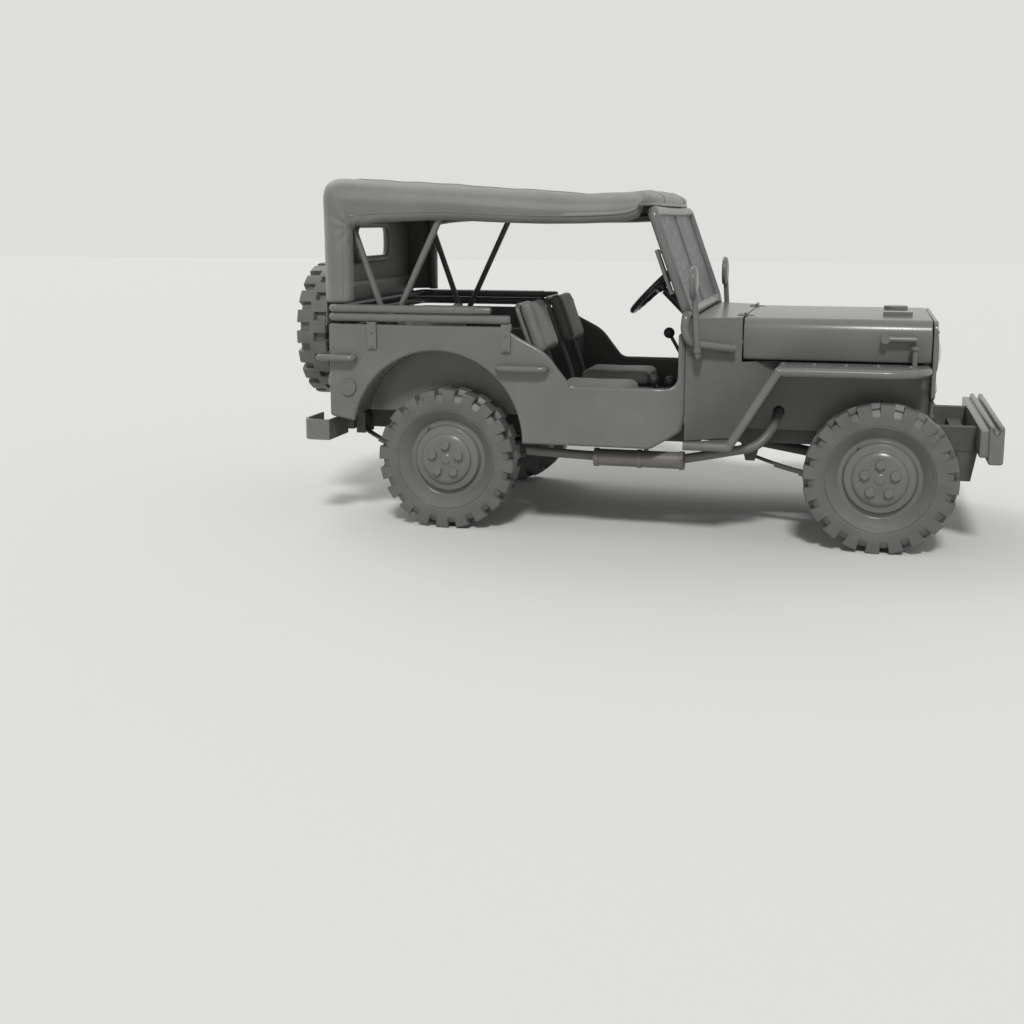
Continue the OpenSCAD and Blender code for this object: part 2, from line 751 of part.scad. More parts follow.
// Side of the tub: door cut, wheel arch and a front corner that turns in to the cowl
module body_side(s) color("DimGray") on_side(s) {
    top = tub_z;
    intersection() {
        difference() {
            slab_y(concat(
                [[rear_x, 536], [arch_x - arch_r, 514], [arch_x + arch_r, sill_z]],
                [
                    [cowl_x0 - 152, sill_z], [cowl_x0 - 14, 516], [cowl_x0, 600], [cowl_x0, top + 5],
                    [cowl_x0 - 34, top + 5]
                ],
                arc([cowl_x0 - 84, door_z + 50], 50, 0, -90),
                arc([rx + 650, door_z + 62], 62, -90, -146, 4),
                [[rx + 545, door_z + 96], [rx + 519, door_z + 130], [rx + 486, door_z + 160]],
                [[rx + 430, door_z + 190], [rx + 372, door_z + 216], [rx + 330, top - 6]],
                [[rx + 300, top], [rear_x, top]]
            ), [400, body_half]);
            rod_y(arch_x, arch_z, [400, body_half + 10], arch_r);
        }
        slab_z(concat(
            side_plan(0), [for (i = [4:-1:0]) side_plan(wall)[i]]
        ), [300, 1200]);
    }
}
module body_side_left() body_side(1);
module body_side_right() body_side(-1);

module rear_panel() color("DimGray") {
    block([rear_x, rear_x + wall], [-in_half, in_half], [rail_z1 + 1, tub_z]);
}

// Tube frame of the windscreen with its pivot arms and inner stays
module windscreen_frame() color("DimGray") {
    for (p = [screen_foot, screen_head]) {
        translate(p) rod_y(0, 0, [-screen_half, screen_half], screen_tube);
    }
    both() {
        out = [0, screen_half, 0];
        bar(screen_foot + out, screen_head + out, screen_tube);
        translate(screen_foot + out) sphere(screen_tube + bend);
        translate(screen_head + out) sphere(screen_tube + bend);
        run([
            screen_foot + out - [0, 14, 0], [cowl_x0 + 2, cowl_half + 38, hood_z + 14],
            [cowl_x0 - 4, cowl_half + 42, 985], [cowl_x0 + 26, cowl_half + 20, 928],
            [cowl_x0 + 206, cowl_half - 104, 896]
        ], 20);
        // Stay set back from the side tube
        for (t = [0.2, 0.6]) {
            p = screen_foot + t * (screen_head - screen_foot);
            bar(p + out, p + [-46, screen_half - 30, 0], 8);
        }
        p0 = screen_foot + 0.18 * (screen_head - screen_foot);
        p1 = screen_foot + 0.62 * (screen_head - screen_foot);
        bar(p0 + [-46, screen_half - 30, 0], p1 + [-46, screen_half - 30, 0], 11);
    }
}

module windscreen_glass() color("#cfd8dc", 0.4) {
    half = screen_half - screen_tube - rest;
    translate(screen_foot)
        rotate([0, -screen_lean, 0])
            translate([-glass_t / 2, -half, screen_tube + rest])
                cube([glass_t, 2 * half, screen_h - 2 * screen_tube - 2 * rest]);
}

// Round mirror on a post at each side of the cowl
module mirrors() color("Gray") both() {
    x = cowl_x0 + 60;
    difference() {
        run([
            [x, cowl_half - 60, 862], [x, cowl_half + 40, 862], [x - 4, cowl_half + 46, 900],
            [x - 24, cowl_half + 46, 1206]
        ], 14);
        slab_z(cowl_plan(0, 0), [800, 900]);
    }
    rod_x(cowl_half + 46, 1206, [x - 38, x - 10], 78);
}

module steering_column() color("#505050") {
    far = (firewall_x - steer_c[0]) / steer_dir[0] + 30;
    difference() {
        bar(steer_c + 40 * steer_dir, steer_c + far * steer_dir, 24);
        block([firewall_x, firewall_x + 100], [0, 600], [400, 1100]);
    }
    bar(steer_c - 10 * steer_dir, steer_c + 60 * steer_dir, 12);
}

// Rim, three spokes and a hub that turns on the column's shaft
module steering_wheel() color("#2c2c2c")
    translate(steer_c)
        rotate([0, -steer_tilt, 0])
            difference() {
                wheel_ring();
                translate([0, 0, -60]) cylinder(h = 74, r = 12 + run_fit);
            }

module wheel_ring() {
    rotate_extrude($fn = 96) translate([steer_r - 14, 0]) circle(r = 14, $fn = 24);
    translate([0, 0, -34]) cylinder(h = 54, r = 30);
    for (i = [0:2]) {
        rotate(120 * i + 60)
            bar([20, 0, 0], [steer_r - 14, 0, 0], 9);
    }
}

// Gear and transfer levers, and three pedals on the firewall
module cabin_controls() color("#3a3a3a") {
    levers = [
        // knob x, knob z, y, foot x, knob radius
        [fx - 1053, 918, 0, fx - 850, 28],
        [fx - 1115, 684, -70, fx - 1060, 26],
        [fx - 1024, 687, -130, fx - 960, 26]
    ];
    for (v = levers) {
        bar([v[3], v[2], floor_z + 6], [v[0], v[2], v[1]], 9);
        translate([v[0], v[2], v[1]]) rotate([0, 0, 90]) sphere(v[4]);
        translate([v[3], v[2], floor_z]) cylinder(h = 14, r = 28);
    }
    for (y = [190, 258, 404]) {
        rod_x(y, 738, [firewall_x - 14, firewall_x], 16);
        bar([firewall_x - 8, y, 738], [firewall_x - 76, y, 668], 9);
        translate([firewall_x - 82, y, 660]) rotate([0, 40, 0]) cube([14, 62, 84], center = true);
    }
}

// Tube frames of the two front seats and of the rear bench
module seat_frames() color("#484848") {
    base = seat_z - 94;
    back_low = back_head + (back_foot - back_head) * (back_head[1] - base) / (back_head[1] - back_foot[1]);
    sides = [seat_y - seat_w / 2 + 26, seat_y + seat_w / 2 - 26];
    both() {
        for (y = sides) {
            run([[rx + 850, y, floor_z], [rx + 850, y, base], [rx + 436, y, base]], 12);
            bar([back_low[0], y, back_low[1]], [back_head[0], y, back_head[1]], back_r);
            bar([rx + 500, y, floor_z], [rx + 500, y, base], 11);
        }
        for (p = [[rx + 800, base], [rx + 540, base], back_head + 0.107 * (back_foot - back_head)]) {
            rod_y(p[0], p[1], sides, back_r - 3);
        }
    }
    for (y = [50 - bench_half, bench_half - 50]) {
        run([[rx + 200, y, floor_z], [rx + 200, y, 672], [rx - 260, y, 672], [rx - 320, y, 980]], 13);
        bar([rx - 180, y, floor_z], [rx - 180, y, 672], 12);
    }
    for (p = [[rx + 150, 672], [rx - 130, 672], [rx - 313, 944]]) {
        rod_y(p[0], p[1], [50 - bench_half, bench_half - 50], 11);
    }
}

module seat_cushions() color("#6a6a6a") {
    both() block(
        [rx + 472, rx + 872], [seat_y - seat_w / 2, seat_y + seat_w / 2], [seat_z - 82 + bend + rest, seat_z]
    );
    block([rx - 200, rx + 224], [-bench_half, bench_half], [685 + bend + rest, 775]);
}

// Back cushions, leaning on the frames
module seat_backs() color("#6a6a6a") {
    both()
        translate([back_foot[0], seat_y - seat_w / 2, back_foot[1]])
            rotate([0, -atan2(back_foot[0] - back_head[0], back_head[1] - back_foot[1]), 0])
                translate([back_r + rest, 0, 24])
                    cube([62, seat_w, 276]);
    translate([rx - 260, -bench_half, 672])
        rotate([0, -11.02, 0])
            translate([13 + bend + rest, 0, 116])
                cube([64, 2 * bench_half, 240]);
}

// Two hoops spread in a V from the body's sides up to the roof
module top_bows() color("#505050") {
    legs = [
        // top x, top z, half width
        [rx + 20, top_z - 90, bow_y[0]],
        [rx - 552, top_z - 60, bow_y[1]]
    ];
    foot = rx - 300;
    for (b = legs) {
        run([
            [foot, b[2], 948], [b[0] - (b[0] - foot) * 0.1, b[2], b[1] - 66], [b[0], b[2] - 60, b[1]],
            [b[0], 60 - b[2], b[1]], [b[0] - (b[0] - foot) * 0.1, -b[2], b[1] - 66], [foot, -b[2], 948]
        ], bow_r);
    }
}

// Canvas over the bows: roof, side bands, rear legs and a back with a window
module canvas_top() color("#7a7a72") {
    tail_x = rx - 634;
    head_x = screen_head[0] + 6;
    // Height of the roof along the car
    ridge = [
        [tail_x, 1090], [tail_x, top_z - 70], [tail_x + 24, top_z - 22], [tail_x + 80, top_z],
        [rx - 30, top_z - 30], [rx + 450, top_z - 60], [rx + 760, top_z - 76], [rx + 930, top_z - 66],
        [head_x, top_z - 84], [head_x, 1090]
    ];
    difference() {
        intersection() {
            slab_y(ridge, [-800, 800]);
            slab_x(canvas_section(0), [tail_x, head_x]);
        }
        intersection() {
            translate([top_t, 0, -top_t]) slab_y(ridge, [-800, 800]);
            slab_x(canvas_section(top_t), [tail_x + top_t, head_x - top_t]);
        }
        // Open underneath
        block([tail_x + top_t, head_x - top_t], [top_t - top_half, top_half - top_t], [1000, 1300]);
        // Open sides, from the rear legs forward
        slab_y([
            [tail_x + 164, 1000], [tail_x + 164, top_z - 252], [tail_x + 190, top_z - 234],
            [rx - 160, top_z - 208], [rx, top_z - 203], [rx + 324, top_z - 221], [rx + 567, top_z - 221],
            [rx + 849, top_z - 209], [rx + 937, top_z - 192],
            [rx + 960, screen_head[2] + screen_tube + bend + rest],
            [head_x + 10, screen_head[2] + screen_tube + bend + rest],
            [head_x + 10, 1000]
        ], [-800, 800]);
        // Back window
        block([tail_x - 10, tail_x + 60], [-230, 230], [top_z - 402, top_z - 242]);
    }
}

// Canvas section across the car, set in by d
function canvas_section(d) = concat(
    [[d - top_half, 1000], [top_half - d, 1000]],
    arc([top_half - 80, top_z - 86], 80 - d, 0, 80),
    [[0, top_z + 12 - d]],
    arc([80 - top_half, top_z - 86], 80 - d, 100, 180)
);

// Stowed hoops: height, front end, length of the cap
hoop_rows = [[1022 + 2 * hoop_r + rest, rx + 158, 80], [1022, rx + 327, 0]];

// Two stacked hoops, folded down around the top of the tub
module stowed_hoops() color("#606060") {
    y = body_half - 4;
    x = rear_x + 10;
    for (h = hoop_rows) {
        bent([[h[1], y, h[0]], [x, y, h[0]], [x, -y, h[0]], [h[1], -y, h[0]]], hoop_r, 50);
        if (h[2] > 0) {
            both() rod_x(y, h[0], [h[1] - 6, h[1] + h[2]], hoop_r - 2);
        }
    }
}

// Brackets that carry the hoops and the feet of the bows
module hoop_brackets() color("#5a5a5a") both() {
    for (x = [rx + 287, rx - 381]) {
        block([x, x + 46], [body_half, body_half + 12], [870, hoop_rows[1][0] - hoop_r - rest]);
        block([x, x + 46], [body_half - 24, body_half + 1], [tub_z, hoop_rows[1][0] - hoop_r - rest]);
    }
    difference() {
        block([rx - 322, rx - 278], [bow_y[1] - 52, in_half], [905, 962]);
        for (y = bow_y) {
            translate([rx - 300, y, 0]) block([-100, 100], [-bow_r - rest, bow_r + rest], [925, 1000]);
        }
    }
}

// Side handles ahead of the rear wheels, and handles around the rear corners
module grab_handles() color("#606060") both() {
    y = body_half + 40;
    r = 16;
    turn = 24;
    side = [rx + 280, rx + 504, 797];
    rod_y(side[0], side[2], [body_half, y - turn], r);
    elbow([side[0] + turn, y - turn, side[2]], turn, 90, r);
    rod_x(y, side[2], [side[0] + turn, side[1] - turn], r);
    elbow([side[1] - turn, y - turn, side[2]], turn, 0, r);
    rod_y(side[1], side[2], [body_half, y - turn], r);
    corner = [rear_x - 44, rx - 449, 826];
    back_y = 560;
    rod_y(corner[1], corner[2], [body_half, y - turn], r);
    elbow([corner[1] - turn, y - turn, corner[2]], turn, 0, r);
    rod_x(y, corner[2], [corner[0] + turn, corner[1] - turn], r);
    elbow([corner[0] + turn, y - turn, corner[2]], turn, 90, r);
    rod_y(corner[0], corner[2], [back_y + turn, y - turn], r);
    elbow([corner[0] + turn, back_y + turn, corner[2]], turn, 180, r);
    rod_x(back_y, corner[2], [corner[0] + turn, rear_x], r);
}

// Round lamps on the rear panel and reflectors on the sides
module rear_lamps() color("#8a8a8a") both() {
    rod_x(610, 700, [rear_x - 34, rear_x], 38);
    rod_y(rx - 485, 680, [body_half, body_half + 10], 37);
}

chassis_frame();
front_bumper();
rear_bumperettes();
front_axle();
rear_axle();
leaf_springs();
dampers();
engine();
gearbox();
propeller_shafts();
exhaust();
radiator();
grille();
headlamps();
fender_left();
fender_right();
cowl();
tub_floor();
body_side_left();
body_side_right();
rear_panel();
windscreen_frame();
windscreen_glass();
mirrors();
steering_column();
cabin_controls();
seat_frames();
seat_cushions();
seat_backs();
top_bows();
canvas_top();
stowed_hoops();
hoop_brackets();
grab_handles();
rear_lamps();
spare_carrier();
spare_rim();
spare_tyre();
hood();
hood_fittings();
knuckle_left();
knuckle_right();
tie_rod();
steering_wheel();
rim_front_left();
rim_front_right();
rim_rear_left();
rim_rear_right();
tyre_front_left();
tyre_front_right();
tyre_rear_left();
tyre_rear_right();
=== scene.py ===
# %% [markdown]
# # A soft-top army 4x4 car
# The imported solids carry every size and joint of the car. This lesson gives them their looks:
# pressed steel with rolled edges, lugged tyres, bent tube, a canvas top and stuffed seats.
# Each new piece is worked out with numpy in metres, in the same frame as the solids.

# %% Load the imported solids
import json
import math
import bmesh
import bpy
import numpy as np
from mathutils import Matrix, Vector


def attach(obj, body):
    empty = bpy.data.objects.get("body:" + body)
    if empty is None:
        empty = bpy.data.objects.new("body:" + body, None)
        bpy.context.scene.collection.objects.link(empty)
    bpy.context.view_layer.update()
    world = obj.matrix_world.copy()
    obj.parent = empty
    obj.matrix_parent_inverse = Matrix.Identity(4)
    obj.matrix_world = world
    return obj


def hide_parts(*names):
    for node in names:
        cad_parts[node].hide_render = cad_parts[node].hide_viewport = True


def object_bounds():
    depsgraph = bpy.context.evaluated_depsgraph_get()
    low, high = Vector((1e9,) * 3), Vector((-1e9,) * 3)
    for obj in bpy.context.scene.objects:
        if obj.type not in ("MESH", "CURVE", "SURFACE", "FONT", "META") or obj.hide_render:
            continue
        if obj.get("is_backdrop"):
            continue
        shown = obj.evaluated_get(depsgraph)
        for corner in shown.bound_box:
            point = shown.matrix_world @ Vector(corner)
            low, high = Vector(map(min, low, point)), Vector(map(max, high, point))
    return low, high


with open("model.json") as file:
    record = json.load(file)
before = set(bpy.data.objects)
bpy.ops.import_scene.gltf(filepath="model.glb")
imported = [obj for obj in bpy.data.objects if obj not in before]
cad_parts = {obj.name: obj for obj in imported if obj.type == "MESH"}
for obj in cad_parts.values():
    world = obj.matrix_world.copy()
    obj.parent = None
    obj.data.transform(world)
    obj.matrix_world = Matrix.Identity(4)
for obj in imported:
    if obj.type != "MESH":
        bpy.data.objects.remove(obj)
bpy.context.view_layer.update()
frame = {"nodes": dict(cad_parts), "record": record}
nodes = frame["nodes"]
body_of = {n: b for b, names in frame["record"]["behaviour"]["bodies"].items() for n in names}

# %% [markdown]
# ## Stations
# A coach builder works from stations along the car. These are the ones the dressing needs:
# axles, rear face, cowl, hood, bumper and the windscreen's foot and head, all in metres.

# %% Stations of the car
FRONT_AXLE, REAR_AXLE, REAR_FACE = 1.16825, -0.86375, -1.44875
COWL_BACK, HOOD_BACK, HOOD_FRONT, GRILLE_BACK = 0.28625, 0.53125, 1.37125, 1.37625
HUB_Z, WHEEL_Y, TYRE_W, BUMPER_X = 0.340, 0.620, 0.165, 1.69325
BODY_Y, TUB_Z, DOOR_Z, HOOD_Z, FLOOR_Z = 0.715, 0.968, 0.720, 1.040, 0.560
SPARE = np.array([-1.60625, -0.220, 0.925])
SCREEN_FOOT = np.array([COWL_BACK, 0.0, 1.0648])
SCREEN_LEAN, SCREEN_TALL = math.radians(20), 0.490
SCREEN_UP = np.array([-math.sin(SCREEN_LEAN), 0.0, math.cos(SCREEN_LEAN)])
SCREEN_HEAD = SCREEN_FOOT + SCREEN_TALL * SCREEN_UP
AHEAD, LEFT, UP = (1, 0, 0), (0, 1, 0), (0, 0, 1)
print("windscreen head at", SCREEN_HEAD.round(4))

# %% [markdown]
# ## Camera, floor and light
# The car stands on a pale studio floor. A small sun, a broad one and an even sky light floor and car
# alike, so that the floor stays near one tone and each colour renders about as it is written. Lamps
# close by would leave a bright pool and a dark edge. The camera was fitted to the picture: it stands
# 6.7 m off the car's right side, a little ahead of it, at eye height. The sky shows the floor's tone
# to the camera, and to mirror-like and clear surfaces, while the floor keeps the shadow.


# %% Camera
def linked(name, data):
    """An object around the given data, in the scene."""
    thing = bpy.data.objects.new(name, data)
    bpy.context.scene.collection.objects.link(thing)
    return thing


# Focal length, width and height of the optical axis in the picture, all in pixels, and the camera's
# tilt down and turn to the side in degrees
FOCAL, PICTURE, AXIS_ROW, TILT, TURN = 1321.7, 1024, 440, 9.516, 14.72
camera = linked("studio_camera", bpy.data.cameras.new("studio_camera"))
camera.data.sensor_width, camera.data.lens = 36.0, 36.0 * FOCAL / PICTURE
camera.data.shift_y = -(PICTURE / 2 - AXIS_ROW) / PICTURE
camera.location = (1.914 + REAR_AXLE, -6.708, 1.492)
camera.rotation_euler = (math.radians(90 - TILT), 0.0, math.radians(TURN))
bpy.context.scene.camera = camera
bpy.context.scene.view_settings.view_transform = "Standard"
print("camera lens", round(camera.data.lens, 2), "mm")


# %% Colour and node helpers
def linear(chip):
    """sRGB hex to linear RGBA: (c + 0.055) / 1.055 to the power 2.4, or c / 12.92 near black."""
    srgb = np.array([int(chip[i:i + 2], 16) for i in (1, 3, 5)]) / 255
    rgb = np.where(srgb <= 0.04045, srgb / 12.92, ((srgb + 0.055) / 1.055) ** 2.4)
    return (*rgb.tolist(), 1.0)


def add(tree, kind, values=None, links=None, **settings):
    """Adds one node, sets its properties and sockets, and links outputs to its inputs."""
    node = tree.nodes.new(kind)
    for key, value in settings.items():
        setattr(node, key, value)
    for key, value in (values or {}).items():
        node.inputs[key].default_value = value
    for key, output in (links or {}).items():
        tree.links.new(output, node.inputs[key])
    return node


# %% Floor, sky and suns
PALE, FLOOR_HALF, SKY_LIGHT = "#dededc", 40, 0.46
SUNS = (
    # name, the direction it shines from, its power and how many degrees wide it is
    ("key_sun", (0.12, -0.68, 0.72), 1.9, 10), ("rim_sun", (-0.50, 0.50, 0.72), 0.75, 40),
)
floor_mesh = bpy.data.meshes.new("studio_floor")
floor_mesh.from_pydata([(FLOOR_HALF * x, FLOOR_HALF * y, 0) for x, y in ((-1, -1), (1, -1), (1, 1), (-1, 1))], [],
                       [(0, 1, 2, 3)])
floor = linked("studio_floor", floor_mesh)
floor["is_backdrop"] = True
floor_paint = bpy.data.materials.new("studio_floor_paint")
floor_paint.use_nodes = True
paint = floor_paint.node_tree.nodes["Principled BSDF"].inputs
paint["Base Color"].default_value, paint["Roughness"].default_value = linear("#d8d8d6"), 0.9
floor_mesh.materials.append(floor_paint)

world = bpy.data.worlds.new("studio_sky")
bpy.context.scene.world = world
world.use_nodes = True
tree = world.node_tree
tree.nodes.clear()
path = add(tree, "ShaderNodeLightPath")
seen = add(tree, "ShaderNodeMath", links={0: path.outputs["Is Camera Ray"], 1: path.outputs["Is Glossy Ray"]},
           operation="MAXIMUM")
seen = add(tree, "ShaderNodeMath", links={0: seen.outputs["Value"], 1: path.outputs["Is Transmission Ray"]},
           operation="MAXIMUM")
shown = add(tree, "ShaderNodeBackground", {"Color": linear(PALE), "Strength": 1.0})
lit = add(tree, "ShaderNodeBackground", {"Color": linear("#ffffff"), "Strength": SKY_LIGHT})
both = add(tree, "ShaderNodeMixShader", links={0: seen.outputs["Value"], 1: lit.outputs["Background"],
                                               2: shown.outputs["Background"]})
add(tree, "ShaderNodeOutputWorld", links={"Surface": both.outputs["Shader"]})

for name, toward, power, spread in SUNS:
    lamp = bpy.data.lights.new(name, "SUN")
    lamp.energy, lamp.angle = power, math.radians(spread)
    level = math.hypot(toward[0], toward[1])
    linked(name, lamp).rotation_euler = (math.atan2(level, toward[2]), 0.0, math.atan2(toward[0], -toward[1]))
print("studio set")

# %% [markdown]
# ## Finishes
# The whole car wears one dull grey, as a primed or sprayed vehicle does, and each material shows
# through in its gloss and grain: satin enamel on pressed steel, a duller coat on the chassis, cast
# iron, rubber with a bloom of dust, waxed canvas and glass. Each is built on the same plan: two
# near tones in patches, a finer grain that varies the gloss, and a low relief of the same grain.


# %% One plan for every finish
def coat(name, base, other, patch, rough, grain, relief, thread=0.0, edge=None, **shader):
    """Two near colours in patches, a finer grain of roughness and relief, cloth threads, and paler edges,
    partly wear and partly a painted highlight.

    patch and grain are sizes in metres, rough runs from low to high, relief is the height of the
    grain and thread the spacing of a weave along the piece's UV map. edge is the paler tone laid on the edges, partly
    wear and partly a painted highlight: one minus the dot product of the true normal and the one rounded over 5 mm.
    """
    material = bpy.data.materials.new(name)
    material.use_nodes = True
    tree = material.node_tree
    tree.nodes.clear()
    place = add(tree, "ShaderNodeTexCoord")
    cloud = add(tree, "ShaderNodeTexNoise", {"Scale": 1 / patch, "Detail": 5, "Roughness": 0.6},
                {"Vector": place.outputs["Object"]})
    fine = add(tree, "ShaderNodeTexNoise", {"Scale": 1 / grain, "Detail": 3},
               {"Vector": place.outputs["Object"]})
    share = add(tree, "ShaderNodeMapRange", {"From Min": 0.36, "From Max": 0.66},
                {"Value": cloud.outputs["Fac"]})
    tone = add(tree, "ShaderNodeMix", {6: linear(base), 7: linear(other)},
               {0: share.outputs["Result"]}, data_type="RGBA")
    # Paler edges, partly wear and partly a painted highlight along every edge
    if edge:
        around = add(tree, "ShaderNodeBevel", {"Radius": 0.005}, samples=4)
        true = add(tree, "ShaderNodeNewGeometry")
        flush = add(tree, "ShaderNodeVectorMath", links={0: around.outputs["Normal"], 1: true.outputs["Normal"]},
                    operation="DOT_PRODUCT")
        wear_and_painted_highlight = add(tree, "ShaderNodeMapRange", {"From Min": 0.97, "From Max": 0.80, "To Max": 0.55},
                     {"Value": flush.outputs["Value"]})
        tone = add(tree, "ShaderNodeMix", {7: linear(edge)},
                   {0: wear_and_painted_highlight.outputs["Result"], 6: tone.outputs[2]}, data_type="RGBA")
    gloss = add(tree, "ShaderNodeMapRange",
                {"From Min": 0.3, "From Max": 0.7, "To Min": rough[0], "To Max": rough[1]},
                {"Value": fine.outputs["Fac"]})
    height = fine.outputs["Fac"]
    if thread:
        rows = [add(tree, "ShaderNodeTexWave", {"Scale": 0.314 / thread, "Distortion": 0.5, "Detail": 1},
                    {"Vector": place.outputs["UV"]}, bands_direction=way) for way in ("X", "Y")]
        height = add(tree, "ShaderNodeMath", links={0: rows[0].outputs["Fac"], 1: rows[1].outputs["Fac"]},
                     operation="ADD").outputs["Value"]
    raised = add(tree, "ShaderNodeBump", {"Distance": relief, "Strength": 0.5}, {"Height": height})
    surface = add(tree, "ShaderNodeBsdfPrincipled", shader,
                  {"Base Color": tone.outputs[2], "Roughness": gloss.outputs["Result"],
                   "Normal": raised.outputs["Normal"]})
    add(tree, "ShaderNodeOutputMaterial", links={"Surface": surface.outputs["BSDF"]})
    return material


# %% Steel, iron, rubber, cloth and glass
# Satin enamel on pressed steel: soft broad highlights, and paler edges that are partly wear and partly a painted
# highlight
enamel = coat("satin_enamel", "#676765", "#6f6f6d", 0.35, (0.20, 0.30), 0.004, 0.00012, edge="#858583",
              **{"Specular IOR Level": 0.38})
# The same enamel on bent tube, a shade darker
tube_enamel = coat("tube_enamel", "#656563", "#6d6d6b", 0.20, (0.22, 0.32), 0.004, 0.0001,
                   **{"Specular IOR Level": 0.40})
# Brushed-on chassis black gone grey with road dust
chassis_coat = coat("chassis_coat", "#4b4b4a", "#565653", 0.12, (0.55, 0.75), 0.006, 0.0006)
# Blackened steel of pins, pedals and levers
dark_steel = coat("blackened_steel", "#3c3c3c", "#474746", 0.06, (0.40, 0.55), 0.003, 0.0002)
# Rolled spring steel, oiled
spring_steel = coat("oiled_spring_steel", "#454545", "#51504d", 0.08, (0.45, 0.62), 0.004, 0.0003)
# Exhaust steel, dulled by heat
hot_steel = coat("heat_dulled_steel", "#605f5d", "#6b6967", 0.10, (0.36, 0.50), 0.005, 0.0004)
# Sand-cast iron of engine and gearbox
cast_iron = coat("sand_cast_iron", "#505050", "#5b5b59", 0.08, (0.55, 0.75), 0.004, 0.0010)
# Vulcanised rubber, weathered to grey
rubber = coat("weathered_rubber", "#585857", "#626260", 0.09, (0.40, 0.56), 0.003, 0.0003)
# Waxed cotton canvas; its 1 mm threads are drawn 4 mm apart so that they show
canvas = coat("waxed_canvas", "#6a6a67", "#73736f", 0.22, (0.30, 0.42), 0.006, 0.0005, thread=0.004,
              **{"Sheen Weight": 0.15})
# Cotton duck over horsehair, on the seats, its tone lifted as painted light against the shade that the canvas top casts
# on them
duck = coat("cotton_duck", "#70706d", "#7a7a75", 0.10, (0.55, 0.70), 0.0035, 0.0006, **{"Sheen Weight": 0.2})
# Moulded phenolic of the steering wheel and the knobs
phenolic = coat("moulded_phenolic", "#484847", "#515150", 0.05, (0.24, 0.36), 0.004, 0.0002)
# Moulded lens plastic, smoky
lens = coat("moulded_lens", "#8b8a88", "#949391", 0.05, (0.18, 0.28), 0.004, 0.0002, **{"Coat Weight": 0.4})
# Windscreen glass under a film of grey road dust, so that it reads as a pane
glass = coat("dusty_windscreen_glass", "#5a5d5c", "#646766", 0.30, (0.25, 0.40), 0.03, 0.00003,
             **{"Transmission Weight": 0.18, "IOR": 1.45, "Specular IOR Level": 0.10})
# Pressed lamp glass over a silvered bowl
lamp_glass = coat("pressed_lamp_glass", "#b9bbba", "#c4c6c5", 0.05, (0.06, 0.14), 0.01, 0.0004,
                  **{"Coat Weight": 0.6})
# Silvered mirror
silver = coat("silvered_mirror", "#c8c9c9", "#cfd0d0", 0.10, (0.03, 0.07), 0.02, 0.00002, Metallic=1.0)
print(len(bpy.data.materials), "materials")

# %% [markdown]
# ## Giving the solids their finishes
# Most solids already have the right shape, so they only take a finish, chosen by the record's
# own material slot for each node.

# %% Finish for every slot
FINISH = {
    "body_paint": enamel, "tube_paint": tube_enamel, "chassis_paint": chassis_coat, "black_steel": dark_steel,
    "spring_steel": spring_steel, "exhaust_steel": hot_steel, "engine_iron": cast_iron, "tyre_rubber": rubber,
    "canvas": canvas, "seat_canvas": duck, "wheel_plastic": phenolic, "lens_plastic": lens,
    "window_glass": glass, "lamp_glass": lamp_glass,
}
slot_of = {part["node"]: part["material_slot"] for part in frame["record"]["subparts"]}
for name, solid in nodes.items():
    solid.data.materials.clear()
    solid.data.materials.append(FINISH[slot_of[name]])
print(len(nodes), "solids painted")

# %% [markdown]
# ## Building surfaces
# A surface is a grid of points, and a face joins each point to its neighbours. Three ways to make
# the grid serve the whole car: a profile turned about an axis, a circle carried along a bent path,
# and a formula of two parameters. Poles and seams are welded when the mesh is made.


# %% Grid, turning and bending
def grid(points, wrap_rows=False, wrap_columns=False):
    """Quads of a grid: each joins a point, the next in its row, the one below that and the one below."""
    index = np.arange(points.shape[0] * points.shape[1]).reshape(points.shape[:2])
    index = np.vstack([index, index[:1]]) if wrap_rows else index
    index = np.hstack([index, index[:, :1]]) if wrap_columns else index
    corners = [index[:-1, :-1], index[1:, :-1], index[1:, 1:], index[:-1, 1:]]
    return points.reshape(-1, 3), np.stack(corners, -1).reshape(-1, 4)


def unit(rows):
    """Each row divided by its own length."""
    return rows / np.maximum(np.linalg.norm(rows, axis=-1, keepdims=True), 1e-12)


def across(axis):
    """Two unit directions square to an axis and to each other."""
    axis = unit(np.array(axis, float))
    first = unit(np.cross(axis, np.eye(3)[np.argmin(np.abs(axis))]))
    return axis, first, np.cross(axis, first)


def rounded(points, turn, steps=8):
    """A path with its corners eased: each gives way to the quadratic curve from a point one turn
    before it to a point one turn after it, with the corner as the point that pulls the curve."""
    points = np.array(points, float)
    before, corner, after = points[:-2, None], points[1:-1, None], points[2:, None]
    reach = [np.minimum(turn / np.linalg.norm(q - corner, axis=-1, keepdims=True), 0.49) for q in (before, after)]
    start, end = corner + (before - corner) * reach[0], corner + (after - corner) * reach[1]
    t = np.linspace(0, 1, steps)[None, :, None]
    eased = (1 - t) ** 2 * start + 2 * t * (1 - t) * corner + t ** 2 * end
    return np.concatenate([points[:1], eased.reshape(-1, points.shape[1]), points[-1:]])


def turned(profile, count, centre, axis, ease=0.0):
    """A profile of (along, radius) pairs turned about an axis: centre + along * axis + radius * circle."""
    profile = np.array(profile, float)
    profile = rounded(profile, ease, 4) if ease else profile
    axis, first, second = across(axis)
    angle = 2 * np.pi * np.arange(count)[:, None, None] / count
    ring = np.cos(angle) * first + np.sin(angle) * second
    points = np.array(centre) + profile[None, :, :1] * axis + profile[None, :, 1:] * ring
    return grid(points, wrap_rows=True)


